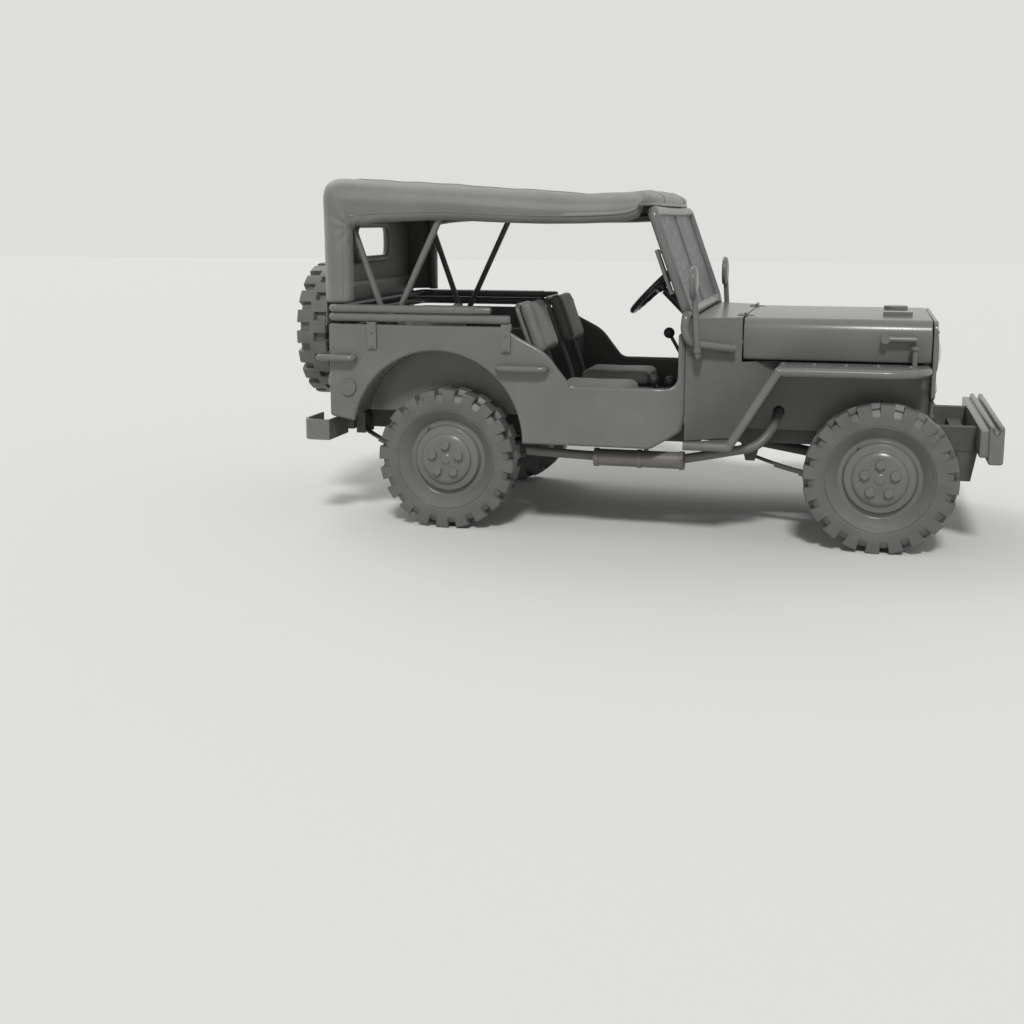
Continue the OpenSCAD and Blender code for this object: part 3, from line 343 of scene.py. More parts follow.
def tube(points, radius, turn=0.045, sides=20):
    """A circle carried along a bent path. Its plane is square to the path, and the direction that
    the whole path leans on least keeps it from twisting. Chamfered discs close both ends."""
    path = rounded(points, turn) if len(points) > 2 else np.array(points, float)
    ahead = unit(np.gradient(path, axis=0))
    least = np.linalg.svd(ahead, full_matrices=True)[2][-1]
    side = unit(np.cross(ahead, least))
    lift = np.cross(side, ahead)
    lip = 0.15 * radius
    ends = [path[:1], path[:1], path[:1] + lip * ahead[:1], path[1:-1], path[-1:] - lip * ahead[-1:], path[-1:],
            path[-1:]]
    path = np.concatenate(ends)
    side = np.concatenate([side[:1], side[:1], side, side[-1:], side[-1:]])
    lift = np.concatenate([lift[:1], lift[:1], lift, lift[-1:], lift[-1:]])
    size = np.full(len(path), radius)
    size[[0, -1]], size[[1, -2]] = 0.0, radius - lip
    angle = 2 * np.pi * np.arange(sides) / sides
    ring = np.cos(angle)[None, :, None] * side[:, None] + np.sin(angle)[None, :, None] * lift[:, None]
    return grid(path[:, None] + size[:, None, None] * ring, wrap_columns=True)


def plate(low, high):
    """A flat strap between two opposite corners, as six quads."""
    corners = np.array([[x, y, z] for x in (0, 1) for y in (0, 1) for z in (0, 1)])
    faces = np.array([(0, 1, 3, 2), (4, 6, 7, 5), (0, 4, 5, 1), (2, 3, 7, 6), (0, 2, 6, 4), (1, 5, 7, 3)])
    return np.array(low) + corners * (np.array(high) - np.array(low)), faces


def mirrored(shapes):
    """The shapes, and the same shapes on the other side of the car."""
    return shapes + [(points * (1, -1, 1), faces) for points, faces in shapes]


print("surface helpers ready")


# %% From arrays to a piece
def piece(name, shapes, material, body="chassis", crease=38, stands_for=(), welds=2e-6):
    """One mesh object from (points, quads) shapes, welded, facing outwards and riding on a body."""
    starts = np.cumsum([0] + [len(points) for points, _ in shapes[:-1]])
    points = np.concatenate([points for points, _ in shapes])
    quads = np.concatenate([faces + start for (_, faces), start in zip(shapes, starts)])
    mesh = bpy.data.meshes.new(name)
    mesh.from_pydata(points.tolist(), [], quads.tolist())
    work = bmesh.new()
    work.from_mesh(mesh)
    bmesh.ops.remove_doubles(work, verts=work.verts, dist=welds)
    bmesh.ops.recalc_face_normals(work, faces=work.faces)
    work.to_mesh(mesh)
    work.free()
    mesh.shade_smooth()
    mesh.set_sharp_from_angle(angle=math.radians(crease))
    mesh.materials.append(material)
    thing = linked(name, mesh)
    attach(thing, body)
    if stands_for:
        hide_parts(*stands_for)
    print(name, len(mesh.polygons), "faces")
    return thing


def rolled(name, width, narrow=None, segments=4, limit=35):
    """A welded copy of a solid with its edges rolled over: flat facets joined, then a bevel.

    Where narrow is given, only the long edges along the car's top shoulders take the full width, and
    the other edges take the narrow one.
    """
    mesh = nodes[name].data.copy()
    work = bmesh.new()
    work.from_mesh(mesh)
    bmesh.ops.remove_doubles(work, verts=work.verts, dist=1e-5)
    bmesh.ops.dissolve_limit(work, angle_limit=math.radians(1.0), verts=work.verts, edges=work.edges)
    weight = work.edges.layers.float.new("bevel_weight_edge")
    for edge in work.edges:
        sharp = edge.is_manifold and edge.calc_face_angle() > math.radians(limit)
        run = edge.verts[1].co - edge.verts[0].co
        shoulder = min(v.co.z for v in edge.verts) > HOOD_Z - 0.002 and abs(run.x) > 0.3 * run.length
        outer = min(abs(v.co.y) for v in edge.verts) > 0.45
        edge[weight] = sharp * (1.0 if narrow is None or (shoulder and outer) else narrow / width)
    work.to_mesh(mesh)
    work.free()
    mesh.shade_smooth()
    thing = linked(name + "_pressing", mesh)
    bevel = thing.modifiers.new("rolled_edge", "BEVEL")
    bevel.width, bevel.segments, bevel.limit_method = width, segments, "WEIGHT"
    level = thing.modifiers.new("level_faces", "WEIGHTED_NORMAL")
    level.keep_sharp = True
    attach(thing, body_of[name])
    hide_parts(name)
    print(thing.name, len(mesh.polygons), "faces before the bevel")
    return thing


# %% [markdown]
# ## Pressed panels
# The tub, the cowl, the grille and the rear bumpers are pressed from sheet, and their edges are
# rolled over so that nobody is cut on them. A bevel on a welded copy of each solid rolls them, and
# catches the long highlights that show the panel's outline.

# %% Rolled panels
for name, width, narrow in (
    ("rear_panel", 0.008, None), ("cowl", 0.034, 0.006), ("hood_fittings", 0.006, None),
    ("rear_bumperettes", 0.005, None), ("grille", 0.004, None),
    ("hoop_brackets", 0.003, None), ("spare_carrier", 0.003, None), ("tub_floor", 0.006, None),
    ("chassis_frame", 0.003, None),
):
    rolled(name, width, narrow)

# %% [markdown]
# ## Body sides
# Each side of the tub is one pressing, as thick as a rolled edge and round all along it: over the
# top, down the curve behind the door, along the step and around the wheel arch. A bevel would be
# squeezed by the short facets of those curves, so the side is built as rings: the outline is set in
# by the rounding of a half circle while the ring moves from the inner face to the outer one, and
# two flat faces close it. The front end then turns in to meet the cowl.


# %% Outline of a body side
R = REAR_AXLE
ARCH = np.array([R - 0.040, 0.440])
ARCH_R, RAIL_Z = 0.425, TUB_Z + 0.022
TURN_LONG, TURN_IN = 0.150, 0.055


def arc(centre, radius, start, end, steps=9):
    """Points on a circle from one angle to another, in degrees."""
    angle = np.radians(np.linspace(start, end, steps))
    return np.array(centre) + radius * np.stack([np.cos(angle), np.sin(angle)], -1)


arch_left = 180 - math.degrees(math.asin((0.514 - ARCH[1]) / ARCH_R))
arch_right = math.degrees(math.asin((0.446 - ARCH[1]) / ARCH_R))
door_rear = np.array([[R + 0.612, 0.730], [R + 0.545, 0.816], [R + 0.519, 0.850], [R + 0.486, 0.880],
                      [R + 0.430, 0.910], [R + 0.372, 0.938], [R + 0.322, 0.970]])
outline = np.concatenate([
    rounded([(REAR_FACE + 0.30, RAIL_Z), (REAR_FACE, RAIL_Z), (REAR_FACE, 0.536),
             (ARCH[0] - ARCH_R + 0.004, 0.516)], 0.018),
    arc(ARCH, ARCH_R, arch_left, arch_right, 40),
    rounded([(ARCH[0] + ARCH_R, 0.436), (COWL_BACK - 0.152, 0.436), (COWL_BACK - 0.014, 0.516), (COWL_BACK, 0.600),
             (COWL_BACK, TUB_Z + 0.005), (COWL_BACK - 0.034, TUB_Z + 0.005), (COWL_BACK - 0.034, 0.85)], 0.016),
    arc((COWL_BACK - 0.084, DOOR_Z + 0.050), 0.050, 0, -90),
    arc((R + 0.650, DOOR_Z + 0.062), 0.062, -90, -128, 6),
    rounded(door_rear, 0.030, 4), rounded([(R + 0.316, 0.974), (R + 0.286, RAIL_Z), (R + 0.1, RAIL_Z)], 0.020, 5)])
print("outline of", len(outline), "points")


# %% Rings of a body side
def body_side(name, side):
    """Rings of the outline: at angle t across the edge, set in by r (1 - cos t) and moved r sin t."""
    radius = 0.014
    before, after = np.roll(outline, 1, 0), np.roll(outline, -1, 0)
    runs = [unit(outline - before), unit(after - outline)]
    square = [np.stack([-run[:, 1], run[:, 0]], -1) for run in runs]
    # The outline runs with the steel on its left, so this points into the steel
    inward = unit(square[0] + square[1])
    inward = inward / np.maximum((inward * square[0]).sum(1, keepdims=True), 0.5)
    turn = np.radians(np.linspace(-90, 90, 9))[:, None, None]
    flat = outline[None] + radius * (1 - np.cos(turn)) * inward[None]
    y = np.broadcast_to(BODY_Y - radius + radius * np.sin(turn), flat.shape[:2] + (1,))
    points, quads = grid(np.concatenate([flat[..., :1], y, flat[..., 1:]], -1), wrap_columns=True)
    count = len(outline)
    faces = quads.tolist() + [list(range(count))[::-1], list(range(8 * count, 9 * count))]
    mesh = bpy.data.meshes.new(name)
    mesh.from_pydata(points.tolist(), [], faces)
    work = bmesh.new()
    work.from_mesh(mesh)
    for x in COWL_BACK - TURN_LONG + TURN_LONG * np.linspace(0, 0.95, 9):
        everything = work.verts[:] + work.edges[:] + work.faces[:]
        bmesh.ops.bisect_plane(work, geom=everything, plane_co=(x, 0, 0), plane_no=AHEAD)
    bmesh.ops.triangulate(work, faces=[f for f in work.faces if len(f.verts) > 4])
    bmesh.ops.recalc_face_normals(work, faces=work.faces)
    work.to_mesh(mesh)
    work.free()
    place = np.zeros(len(mesh.vertices) * 3)
    mesh.vertices.foreach_get("co", place)
    place = place.reshape(-1, 3)
    # The front corner turns in as the square of the way along it
    place[:, 1] -= TURN_IN * np.clip((place[:, 0] - COWL_BACK + TURN_LONG) / TURN_LONG, 0, 1) ** 2
    place[:, 1] *= side
    mesh.vertices.foreach_set("co", place.ravel())
    if side < 0:
        mesh.flip_normals()
    mesh.shade_smooth()
    mesh.materials.append(enamel)
    thing = linked(name, mesh)
    level = thing.modifiers.new("level_faces", "WEIGHTED_NORMAL")
    level.keep_sharp = True
    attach(thing, "chassis")
    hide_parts("body_side_left" if side > 0 else "body_side_right")
    print(name, len(mesh.polygons), "faces")


body_side("left_side_pressing", 1)
body_side("right_side_pressing", -1)

# %% [markdown]
# ## Hood and front bumper
# The hood is one bent sheet: a nearly flat top, broad shoulders, and sides that are fullest a third
# of the way down and tuck in below. The bumper is a channel with a groove along its top. A bevelled
# block has none of that shape, so each section is drawn as a line of points, eased at its corners
# and carried along the panel, and the ends are rolled over.

# %% Hood panel and hinges
section = rounded([(0.470, 0.844), (0.489, 0.844), (0.499, 0.905), (0.505, 0.964), (0.495, 1.008),
                   (0.464, 1.0375), (0.200, 1.0415), (0.0, 1.0425)], 0.024, 6)
section = np.concatenate([section, (section * (-1, 1))[-2::-1]])
run = unit(np.gradient(section, axis=0))
inside = np.stack([-run[:, 1], run[:, 0]], -1)
sheet = 0.012
t = np.radians(np.linspace(0, 90, 6))
inset = sheet / 2 * (1 - np.sin(np.concatenate([t, t[::-1]])))[:, None, None]
x = np.concatenate([HOOD_BACK + sheet / 2 * (1 - np.cos(t)), HOOD_FRONT - sheet / 2 * (1 - np.cos(t[::-1]))])
loop = np.concatenate([section + inset * inside, (section + (sheet - inset) * inside)[:, ::-1]], 1)
panel = np.concatenate([np.broadcast_to(x[:, None, None], loop.shape[:2] + (1,)), loop], -1)
hinge = turned([(0.0, 0.0), (0.0, 0.006), (0.002, 0.008), (0.030, 0.008), (0.032, 0.006), (0.032, 0.0)], 24,
               (HOOD_BACK - 0.0025, 0.331, 1.048), LEFT)
leaf = plate((HOOD_BACK - 0.002, 0.331, 1.0380), (HOOD_BACK + 0.034, 0.363, 1.0430))
piece("hood_panel", [grid(panel, wrap_columns=True)] + mirrored([hinge, leaf]), enamel, body_of["hood"], 38, ["hood"])


# %% Bumper channel
def channel(corners, half, turn, radius):
    """A closed outline in the car's long section carried across it from -half to half. Near each end
    the outline is set in by r (1 - cos t) as it moves out r sin t, and a fan closes the end."""
    line = rounded(np.array(corners + corners[:1]), turn, 5)[:-1]
    runs = [unit(line - np.roll(line, 1, 0)), unit(np.roll(line, -1, 0) - line)]
    inward = unit(sum(np.stack([-run[:, 1], run[:, 0]], -1) for run in runs))
    t = np.radians(np.linspace(90, 0, 6))
    set_in = radius * (1 - np.cos(np.concatenate([t, t[::-1]])))
    y = np.concatenate([-half + radius * (1 - np.sin(t)), half - radius * (1 - np.sin(t[::-1]))])
    rings = line + set_in[:, None, None] * inward
    middle = np.broadcast_to(line.mean(0), (1,) + line.shape)
    rings = np.concatenate([middle, rings, middle])
    y = np.broadcast_to(np.concatenate([y[:1], y, y[-1:]])[:, None, None], rings.shape[:2] + (1,))
    return grid(np.concatenate([rings[..., :1], y, rings[..., 1:]], -1), wrap_columns=True)


x, low, high = BUMPER_X, 0.409, 0.585
bar = channel([(x - 0.034, low), (x, low), (x, high), (x - 0.026, high), (x - 0.026, 0.560), (x - 0.042, 0.560),
               (x - 0.042, high), (x - 0.067, high), (x - 0.067, low)], 0.585, 0.018, 0.010)
stiffener = channel([(x - 0.085, 0.439), (x - 0.060, 0.439), (x - 0.060, 0.567), (x - 0.104, 0.567),
                     (x - 0.104, 0.439)], 0.573, 0.010, 0.008)
piece("bumper_channel", [bar, stiffener], enamel, crease=50, stands_for=["front_bumper"])

# %% [markdown]
# ## Lugged tyres
# A cross-country tyre carries blocks along each shoulder, out of step from one side to the other,
# that meet at a ridge in the middle. Modelling each block apart would leave seams, so the tyre is
# one surface: its radius is a smooth section, raised by a lug wherever a block stands.


# %% The tyre's surface
LUGS = 20
SECTION = np.array([
    # radius, distance in from the sidewall, and how far a lug lifts each: outward and sideways
    [0.2172, 0.0300, 0.0000, 0.0000], [0.2408, 0.0092, 0.0000, 0.0000], [0.2420, 0.0050, 0.0000, 0.0000],
    [0.2470, 0.0034, 0.0000, 0.0000], [0.2660, 0.0016, 0.0000, 0.0000], [0.2830, 0.0020, 0.0000, 0.0000],
    [0.2840, 0.0021, 0.0000, 0.0003], [0.2930, 0.0074, 0.0030, 0.0052], [0.3040, 0.0126, 0.0120, 0.0102],
    [0.3130, 0.0182, 0.0215, 0.0142], [0.3155, 0.0260, 0.0241, 0.0166], [0.3165, 0.0400, 0.0233, 0.0030],
    [0.3170, 0.0600, 0.0228, 0.0000], [0.3172, 0.0720, 0.0226, 0.0000]])


def tyre(centre, axis):
    """Points at (angle, station): a rounded section, lifted by 23 mm where a lug stands.

    The section runs from bead to bead over a middle rib that is always up. A lug on one shoulder
    fills 0.62 of each pitch, and those on the other shoulder stand half a pitch on. Angles come in
    close pairs at the lugs' walls, so that the walls are steep.
    """
    phase = np.array([0.000, 0.014, 0.106, 0.120, 0.310, 0.500, 0.514, 0.606, 0.620, 0.810])
    left = np.array([0, 1, 1, 1, 1, 1, 1, 1, 0, 0])
    right = np.array([1, 1, 1, 0, 0, 0, 1, 1, 1, 1])
    angle = 2 * np.pi * ((np.arange(LUGS)[:, None] + phase) / LUGS).ravel()
    up = [np.tile(side, LUGS)[:, None] * np.ones(len(SECTION)) for side in (left, right)]
    for side in up:
        side[:, -1] = 1.0
    radius = [SECTION[:, 0] + side * SECTION[:, 2] for side in up]
    along = [TYRE_W / 2 - SECTION[:, 1] + side * SECTION[:, 3] for side in up]
    radius = np.concatenate([radius[0], radius[1][:, ::-1]], 1)
    along = np.concatenate([-along[0], along[1][:, ::-1]], 1)
    axis, first, second = across(axis)
    ring = np.cos(angle)[:, None, None] * first + np.sin(angle)[:, None, None] * second
    points = np.array(centre) + along[:, :, None] * axis + radius[:, :, None] * ring
    return grid(points, wrap_rows=True, wrap_columns=True)


WHEELS = {
    f"{end}_{side}": ((x, s * WHEEL_Y, HUB_Z), (0, s, 0), f"wheel_{end}_{side}")
    for end, x in (("front", FRONT_AXLE), ("rear", REAR_AXLE)) for side, s in (("left", 1), ("right", -1))
}
WHEELS["spare"] = (SPARE, (-1, 0, 0), "chassis")
for place, (centre, axis, body) in WHEELS.items():
    stands = "spare_tyre" if place == "spare" else "tyre_" + place
    piece("lugged_tyre_" + place, [tyre(centre, axis)], rubber, body, 32, [stands])

# %% [markdown]
# ## Dished wheels
# The wheel is a pressed disc set deep in a coned rim, held by five large nuts. It is a turned profile
# with eased corners; the nuts are six-sided turned shapes with a chamfered top, and a valve stem
# comes out of the rim beside the disc.


# %% Rims and nuts
def rim(centre, axis):
    """The disc and rim's profile turned about the axle, five nuts, a hub cap and a valve."""
    lip, nut_circle = TYRE_W / 2 - 0.0025, 0.06985
    profile = [
        # hub cap, disc, cone and front flange
        (lip - 0.006, 0.0), (lip - 0.006, 0.020), (lip - 0.011, 0.026), (lip - 0.012, 0.106), (lip - 0.019, 0.121),
        (lip - 0.030, 0.125), (lip - 0.033, 0.156), (lip - 0.045, 0.162), (lip - 0.056, 0.166), (lip - 0.058, 0.184),
        (lip - 0.053, 0.190), (lip - 0.006, 0.2345), (lip - 0.001, 0.238), (lip - 0.002, 0.2405),
        # the seat of the tyre, the back flange and the inside of the disc
        (lip - 0.006, 0.2405), (lip - 0.010, 0.237), (lip - 0.029, 0.216), (0.029 - lip, 0.216),
        (0.010 - lip, 0.237), (0.006 - lip, 0.240), (0.001 - lip, 0.2395), (0.001 - lip, 0.234), (0.024 - lip, 0.208),
        (lip - 0.070, 0.204), (lip - 0.067, 0.190), (lip - 0.066, 0.062), (-0.030, 0.060), (-0.030, 0.0)]
    way, first, second = across(axis)
    shapes = [turned(profile, 96, centre, axis, 0.003)]
    for k in range(5):
        spin = np.cos(0.4 * np.pi * k) * first + np.sin(0.4 * np.pi * k) * second
        seat = np.array(centre) + nut_circle * spin
        shapes.append(turned([(lip - 0.014, 0.0), (lip - 0.014, 0.0255), (lip + 0.003, 0.0255), (lip + 0.008, 0.0215),
                              (lip + 0.008, 0.0)], 6, seat, axis))
        shapes.append(turned([(lip - 0.014, 0.0), (lip - 0.014, 0.0305), (lip - 0.009, 0.0290), (lip - 0.008, 0.0)],
                             24, seat, axis))
    spin = np.cos(0.6) * first + np.sin(0.6) * second
    foot = np.array(centre) + 0.175 * spin + (lip - 0.060) * way
    shapes.append(tube([foot, foot + 0.034 * way], 0.0045, sides=10))
    return shapes


for place, (centre, axis, body) in WHEELS.items():
    stands = "spare_rim" if place == "spare" else "rim_" + place
    piece("dished_rim_" + place, rim(centre, axis), enamel, body, 38, [stands])

# %% [markdown]
# ## Bent tube
# Bows, hoops, handles, the windscreen's frame and the seats are bent from round tube. A circle
# carried along each path gives the smooth bends of a tube bender, on the same lines as the solids.

# %% Bows of the top
bows = []
for top_x, top_z, half in ((R + 0.020, 1.602, 0.650), (R - 0.552, 1.632, 0.612)):
    foot = R - 0.300
    knee = top_x - (top_x - foot) * 0.1
    bows.append(tube([(foot, half, 0.930), (knee, half, top_z - 0.066), (top_x, half - 0.060, top_z),
                      (top_x, 0.060 - half, top_z), (knee, -half, top_z - 0.066), (foot, -half, 0.930)], 0.0158, 0.06))
piece("bow_tubes", bows, tube_enamel, stands_for=["top_bows"])

# %% Stowed hoops with their end plugs
hoops = []
for height, end, plug in ((1.0631, R + 0.158, 0.080), (1.022, R + 0.327, 0.0)):
    y, x = BODY_Y - 0.004, REAR_FACE + 0.010
    hoops.append(tube([(end, y, height), (x, y, height), (x, -y, height), (end, -y, height)], 0.0204, 0.055))
    for s in (1, -1):
        if plug:
            hoops.append(turned([(-0.006, 0.0), (-0.006, 0.0180), (plug - 0.012, 0.0180), (plug - 0.004, 0.0150),
                                 (plug, 0.0080), (plug, 0.0)], 24, (end, s * y, height), AHEAD))
        hoops.append(turned([(-0.018, 0.0), (-0.018, 0.0212), (-0.004, 0.0212), (-0.002, 0.0)], 24,
                            (end, s * y, height), AHEAD))
piece("hoop_tubes", hoops, tube_enamel, stands_for=["stowed_hoops"])

# %% Grab handles with their foot plates
handles, y, low, high = [], BODY_Y + 0.040, 0.797, 0.826
rear, front, corner, back_x = R + 0.280, R + 0.504, R - 0.449, REAR_FACE - 0.044
side = [(rear, BODY_Y, low), (rear, y, low), (front, y, low), (front, BODY_Y, low)]
back = [(corner, BODY_Y, high), (corner, y, high), (back_x, y, high), (back_x, 0.560, high), (REAR_FACE, 0.560, high)]
for line in (side, back):
    handles.append(tube(line, 0.0160, 0.034))
for x, z in ((rear, low), (front, low), (corner, high)):
    handles.append(turned([(0, 0), (0, 0.029), (0.003, 0.028), (0.004, 0.020), (0.007, 0.017)], 24,
                          (x, BODY_Y, z), LEFT))
piece("handle_tubes", mirrored(handles), tube_enamel, stands_for=["grab_handles"])

# %% Windscreen frame, pivot arms and stays
HALF = 0.645
out = np.array([0.0, HALF, 0.0])
foot, head = SCREEN_FOOT, SCREEN_HEAD
arm = [foot + out - (0, 0.014, 0), (COWL_BACK + 0.002, 0.698, 1.054), (COWL_BACK - 0.004, 0.702, 0.985),
       (COWL_BACK + 0.026, 0.680, 0.928), (COWL_BACK + 0.206, 0.556, 0.896)]
stay = [foot + t * SCREEN_TALL * SCREEN_UP + out + (-0.046, -0.030, 0) for t in (0.18, 0.62)]
sides = [tube(arm, 0.020, 0.030), tube(stay, 0.011)]
for t in (0.2, 0.6):
    p = foot + t * SCREEN_TALL * SCREEN_UP
    sides.append(tube([p + out, p + out + (-0.046, -0.030, 0)], 0.008))
# A collar closes the front end of each arm
tip = unit(np.array(arm[-1]) - np.array(arm[-2]))
sides.append(turned([(-0.020, 0.0), (-0.020, 0.0225), (0.000, 0.0225), (0.004, 0.018), (0.004, 0.0)], 24, arm[-1], tip))
loop = tube([foot, foot + out, head + out, head - out, foot - out, foot], 0.024, 0.040, 24)
piece("screen_tubes", [loop] + mirrored(sides), enamel, stands_for=["windscreen_frame"])

# %% Seat frames
BACK_LOW, BACK_HEAD, LEAN = (R + 0.4624, 0.606), (R + 0.294, 1.070), 19.95
SEAT_Y, BENCH_Z = 0.320, 0.672
seats, low, bench_y = [], BACK_LOW[1], 0.420
ends = (SEAT_Y - 0.170 + 0.026, SEAT_Y + 0.170 - 0.026)
for y in ends:
    seats.append(tube([(R + 0.850, y, FLOOR_Z), (R + 0.850, y, low), (R + 0.436, y, low)], 0.012, 0.035, 14))
    seats.append(tube([(R + 0.500, y, FLOOR_Z), (R + 0.500, y, low)], 0.011, sides=14))
# One tube goes up one side of the back, over its top and down the other
seats.append(tube([(BACK_LOW[0], ends[0], BACK_LOW[1]), (BACK_HEAD[0], ends[0], BACK_HEAD[1]),
                   (BACK_HEAD[0], ends[1], BACK_HEAD[1]), (BACK_LOW[0], ends[1], BACK_LOW[1])], 0.012, 0.045, 16))
for x, z in ((R + 0.800, low), (R + 0.540, low)):
    seats.append(tube([(x, ends[0], z), (x, ends[1], z)], 0.009, sides=14))
seats.append(tube([(R + 0.200, bench_y, FLOOR_Z), (R + 0.200, bench_y, BENCH_Z), (R - 0.260, bench_y, BENCH_Z),
                   (R - 0.320, bench_y, 0.980)], 0.013, 0.040, 14))
seats.append(tube([(R - 0.180, bench_y, FLOOR_Z), (R - 0.180, bench_y, BENCH_Z)], 0.012, sides=14))
for x, z in ((R + 0.150, BENCH_Z), (R - 0.130, BENCH_Z), (R - 0.313, 0.944)):
    seats.append(tube([(x, 0.0, z), (x, bench_y, z)], 0.011, sides=14))
piece("seat_tubes", mirrored(seats), tube_enamel, stands_for=["seat_frames"])


# %% Exhaust pipe, muffler and straps
box0, y = R + 0.720, -0.610
front_pipe = [(box0 + 0.400, y, 0.376), (FRONT_AXLE - 0.556, y, 0.450), (FRONT_AXLE - 0.492, y + 0.044, 0.520),
              (FRONT_AXLE - 0.470, -0.430, 0.590), (FRONT_AXLE - 0.470, -0.170, 0.590)]
can = [(-0.002, 0.0), (-0.002, 0.024), (0.000, 0.036), (0.004, 0.040), (0.420, 0.040), (0.424, 0.036),
       (0.426, 0.024), (0.426, 0.0)]
bands = [turned([(x, 0.0395), (x, 0.0430), (x + 0.003, 0.0440), (x + 0.019, 0.0440), (x + 0.022, 0.0430),
                 (x + 0.022, 0.0395)], 40, (box0, y, 0.372), AHEAD) for x in (-0.001, 0.205, 0.404)]
straps = [plate((x, y - 0.003, 0.384), (x + 0.022, y + 0.003, 0.485)) for x in (R + 0.495, COWL_BACK - 0.195)]
piece("exhaust_pipe", [tube([(R + 0.386, y, 0.388), (box0 + 0.010, y, 0.376)], 0.022), tube(front_pipe, 0.022, 0.055),
                       turned(can, 40, (box0, y, 0.372), AHEAD)] + bands + straps,
      hot_steel, stands_for=["exhaust"])

# %% [markdown]
# ## The canvas top
# One padded sheet of canvas runs from the windscreen's header over two bows, round the rear corner
# and down to the tub, with a soft band along each side and a leg at each rear corner. Band and leg
# are full and round, and their edges roll under. Flat panels would show hard corners, so the sheet
# is one surface: for each station along the car, an outer line on the roof and an inner line along
# the opening's edge, and a section that bends from one to the other and rolls in at the edge.

# %% Stations of the sheet
STATIONS = np.array([
    # roof line x, z, then the edge of the opening x, z
    [0.1247, 1.5560, 0.0900, 1.5525], [0.1247, 1.5840, 0.0880, 1.5460], [0.1080, 1.6000, 0.0800, 1.5250],
    [0.0660, 1.6150, 0.0660, 1.4970], [-0.0150, 1.6110, -0.0150, 1.4790], [-0.1600, 1.6060, -0.1600, 1.4700],
    [-0.2970, 1.6080, -0.2970, 1.4680], [-0.4140, 1.6170, -0.4140, 1.4680], [-0.6200, 1.6310, -0.6200, 1.4740],
    [-0.8640, 1.6490, -0.8640, 1.4840], [-1.0240, 1.6580, -1.0240, 1.4800], [-1.2000, 1.6700, -1.2000, 1.4710],
    [-1.3300, 1.6790, -1.2900, 1.4600], [-1.4180, 1.6820, -1.3180, 1.4540], [-1.4720, 1.6630, -1.3290, 1.4460],
    [-1.4960, 1.6150, -1.3338, 1.4300], [-1.4978, 1.5400, -1.3338, 1.3900], [-1.4978, 1.4500, -1.3338, 1.3500],
    [-1.4978, 1.3700, -1.3338, 1.3050], [-1.4978, 1.2900, -1.3338, 1.2550], [-1.4978, 1.1900, -1.3338, 1.1750],
    [-1.4978, 1.0900, -1.3338, 1.0900]])


def eased_rows(rows, steps):
    """Smooth rows between the given ones: each span is the cubic that leaves and arrives along the
    line between its neighbours."""
    ends = np.concatenate([2 * rows[:1] - rows[1:2], rows, 2 * rows[-1:] - rows[-2:-1]])
    a, b, c, d = ends[:-3, None], ends[1:-2, None], ends[2:-1, None], ends[3:, None]
    t = (np.arange(steps) / steps)[None, :, None]
    span = b + 0.5 * t * (c - a + t * (2 * a - 5 * b + 4 * c - d + t * (3 * (b - c) + d - a)))
    return np.concatenate([span.reshape(-1, rows.shape[1]), rows[-1:]])


SPAN = 6
lines = eased_rows(STATIONS, SPAN)
zeros = np.zeros(len(lines))
roof = np.stack([lines[:, 0], zeros, lines[:, 1]], -1)
edge = np.stack([lines[:, 2], zeros, lines[:, 3]], -1)
inward = unit(edge - roof)
drop = np.linalg.norm(edge - roof, axis=-1)
ahead = unit(np.gradient(roof, axis=0))
above = unit(np.stack([-ahead[:, 2], zeros, ahead[:, 0]], -1)) * -1
print("sheet of", len(lines), "stations, deepest band", drop.max().round(3))

# %% The sheet's section
TOP_Y, BEND, LIP = 0.699, 0.105, 0.036
# How high the band swells, the roof crowns, sags and puckers and the corner folds, and the wave lengths
SWELL, CROWN, SAG, PUCKER, FOLD = 0.010, 0.012, 0.004, 0.0016, 0.0035
SAG_WAVE, PUCKER_WAVE, FRONT_DRAW = 0.52, 0.190, 0.040
WINDOW_Y, WINDOW_Z, FOLD_X, FOLD_Z = 0.23, (1.29, 1.45), -1.33, 1.45
flat = np.concatenate([np.linspace(TOP_Y - BEND, WINDOW_Y, 11), np.linspace(WINDOW_Y, -WINDOW_Y, 13)[1:],
                       np.linspace(-WINDOW_Y, BEND - TOP_Y, 11)[1:]])
roll = np.linspace(np.pi, 0, 13)
side_share = np.linspace(1, 0, 8)[1:-1]
bend = np.linspace(0, np.pi / 2, 11)


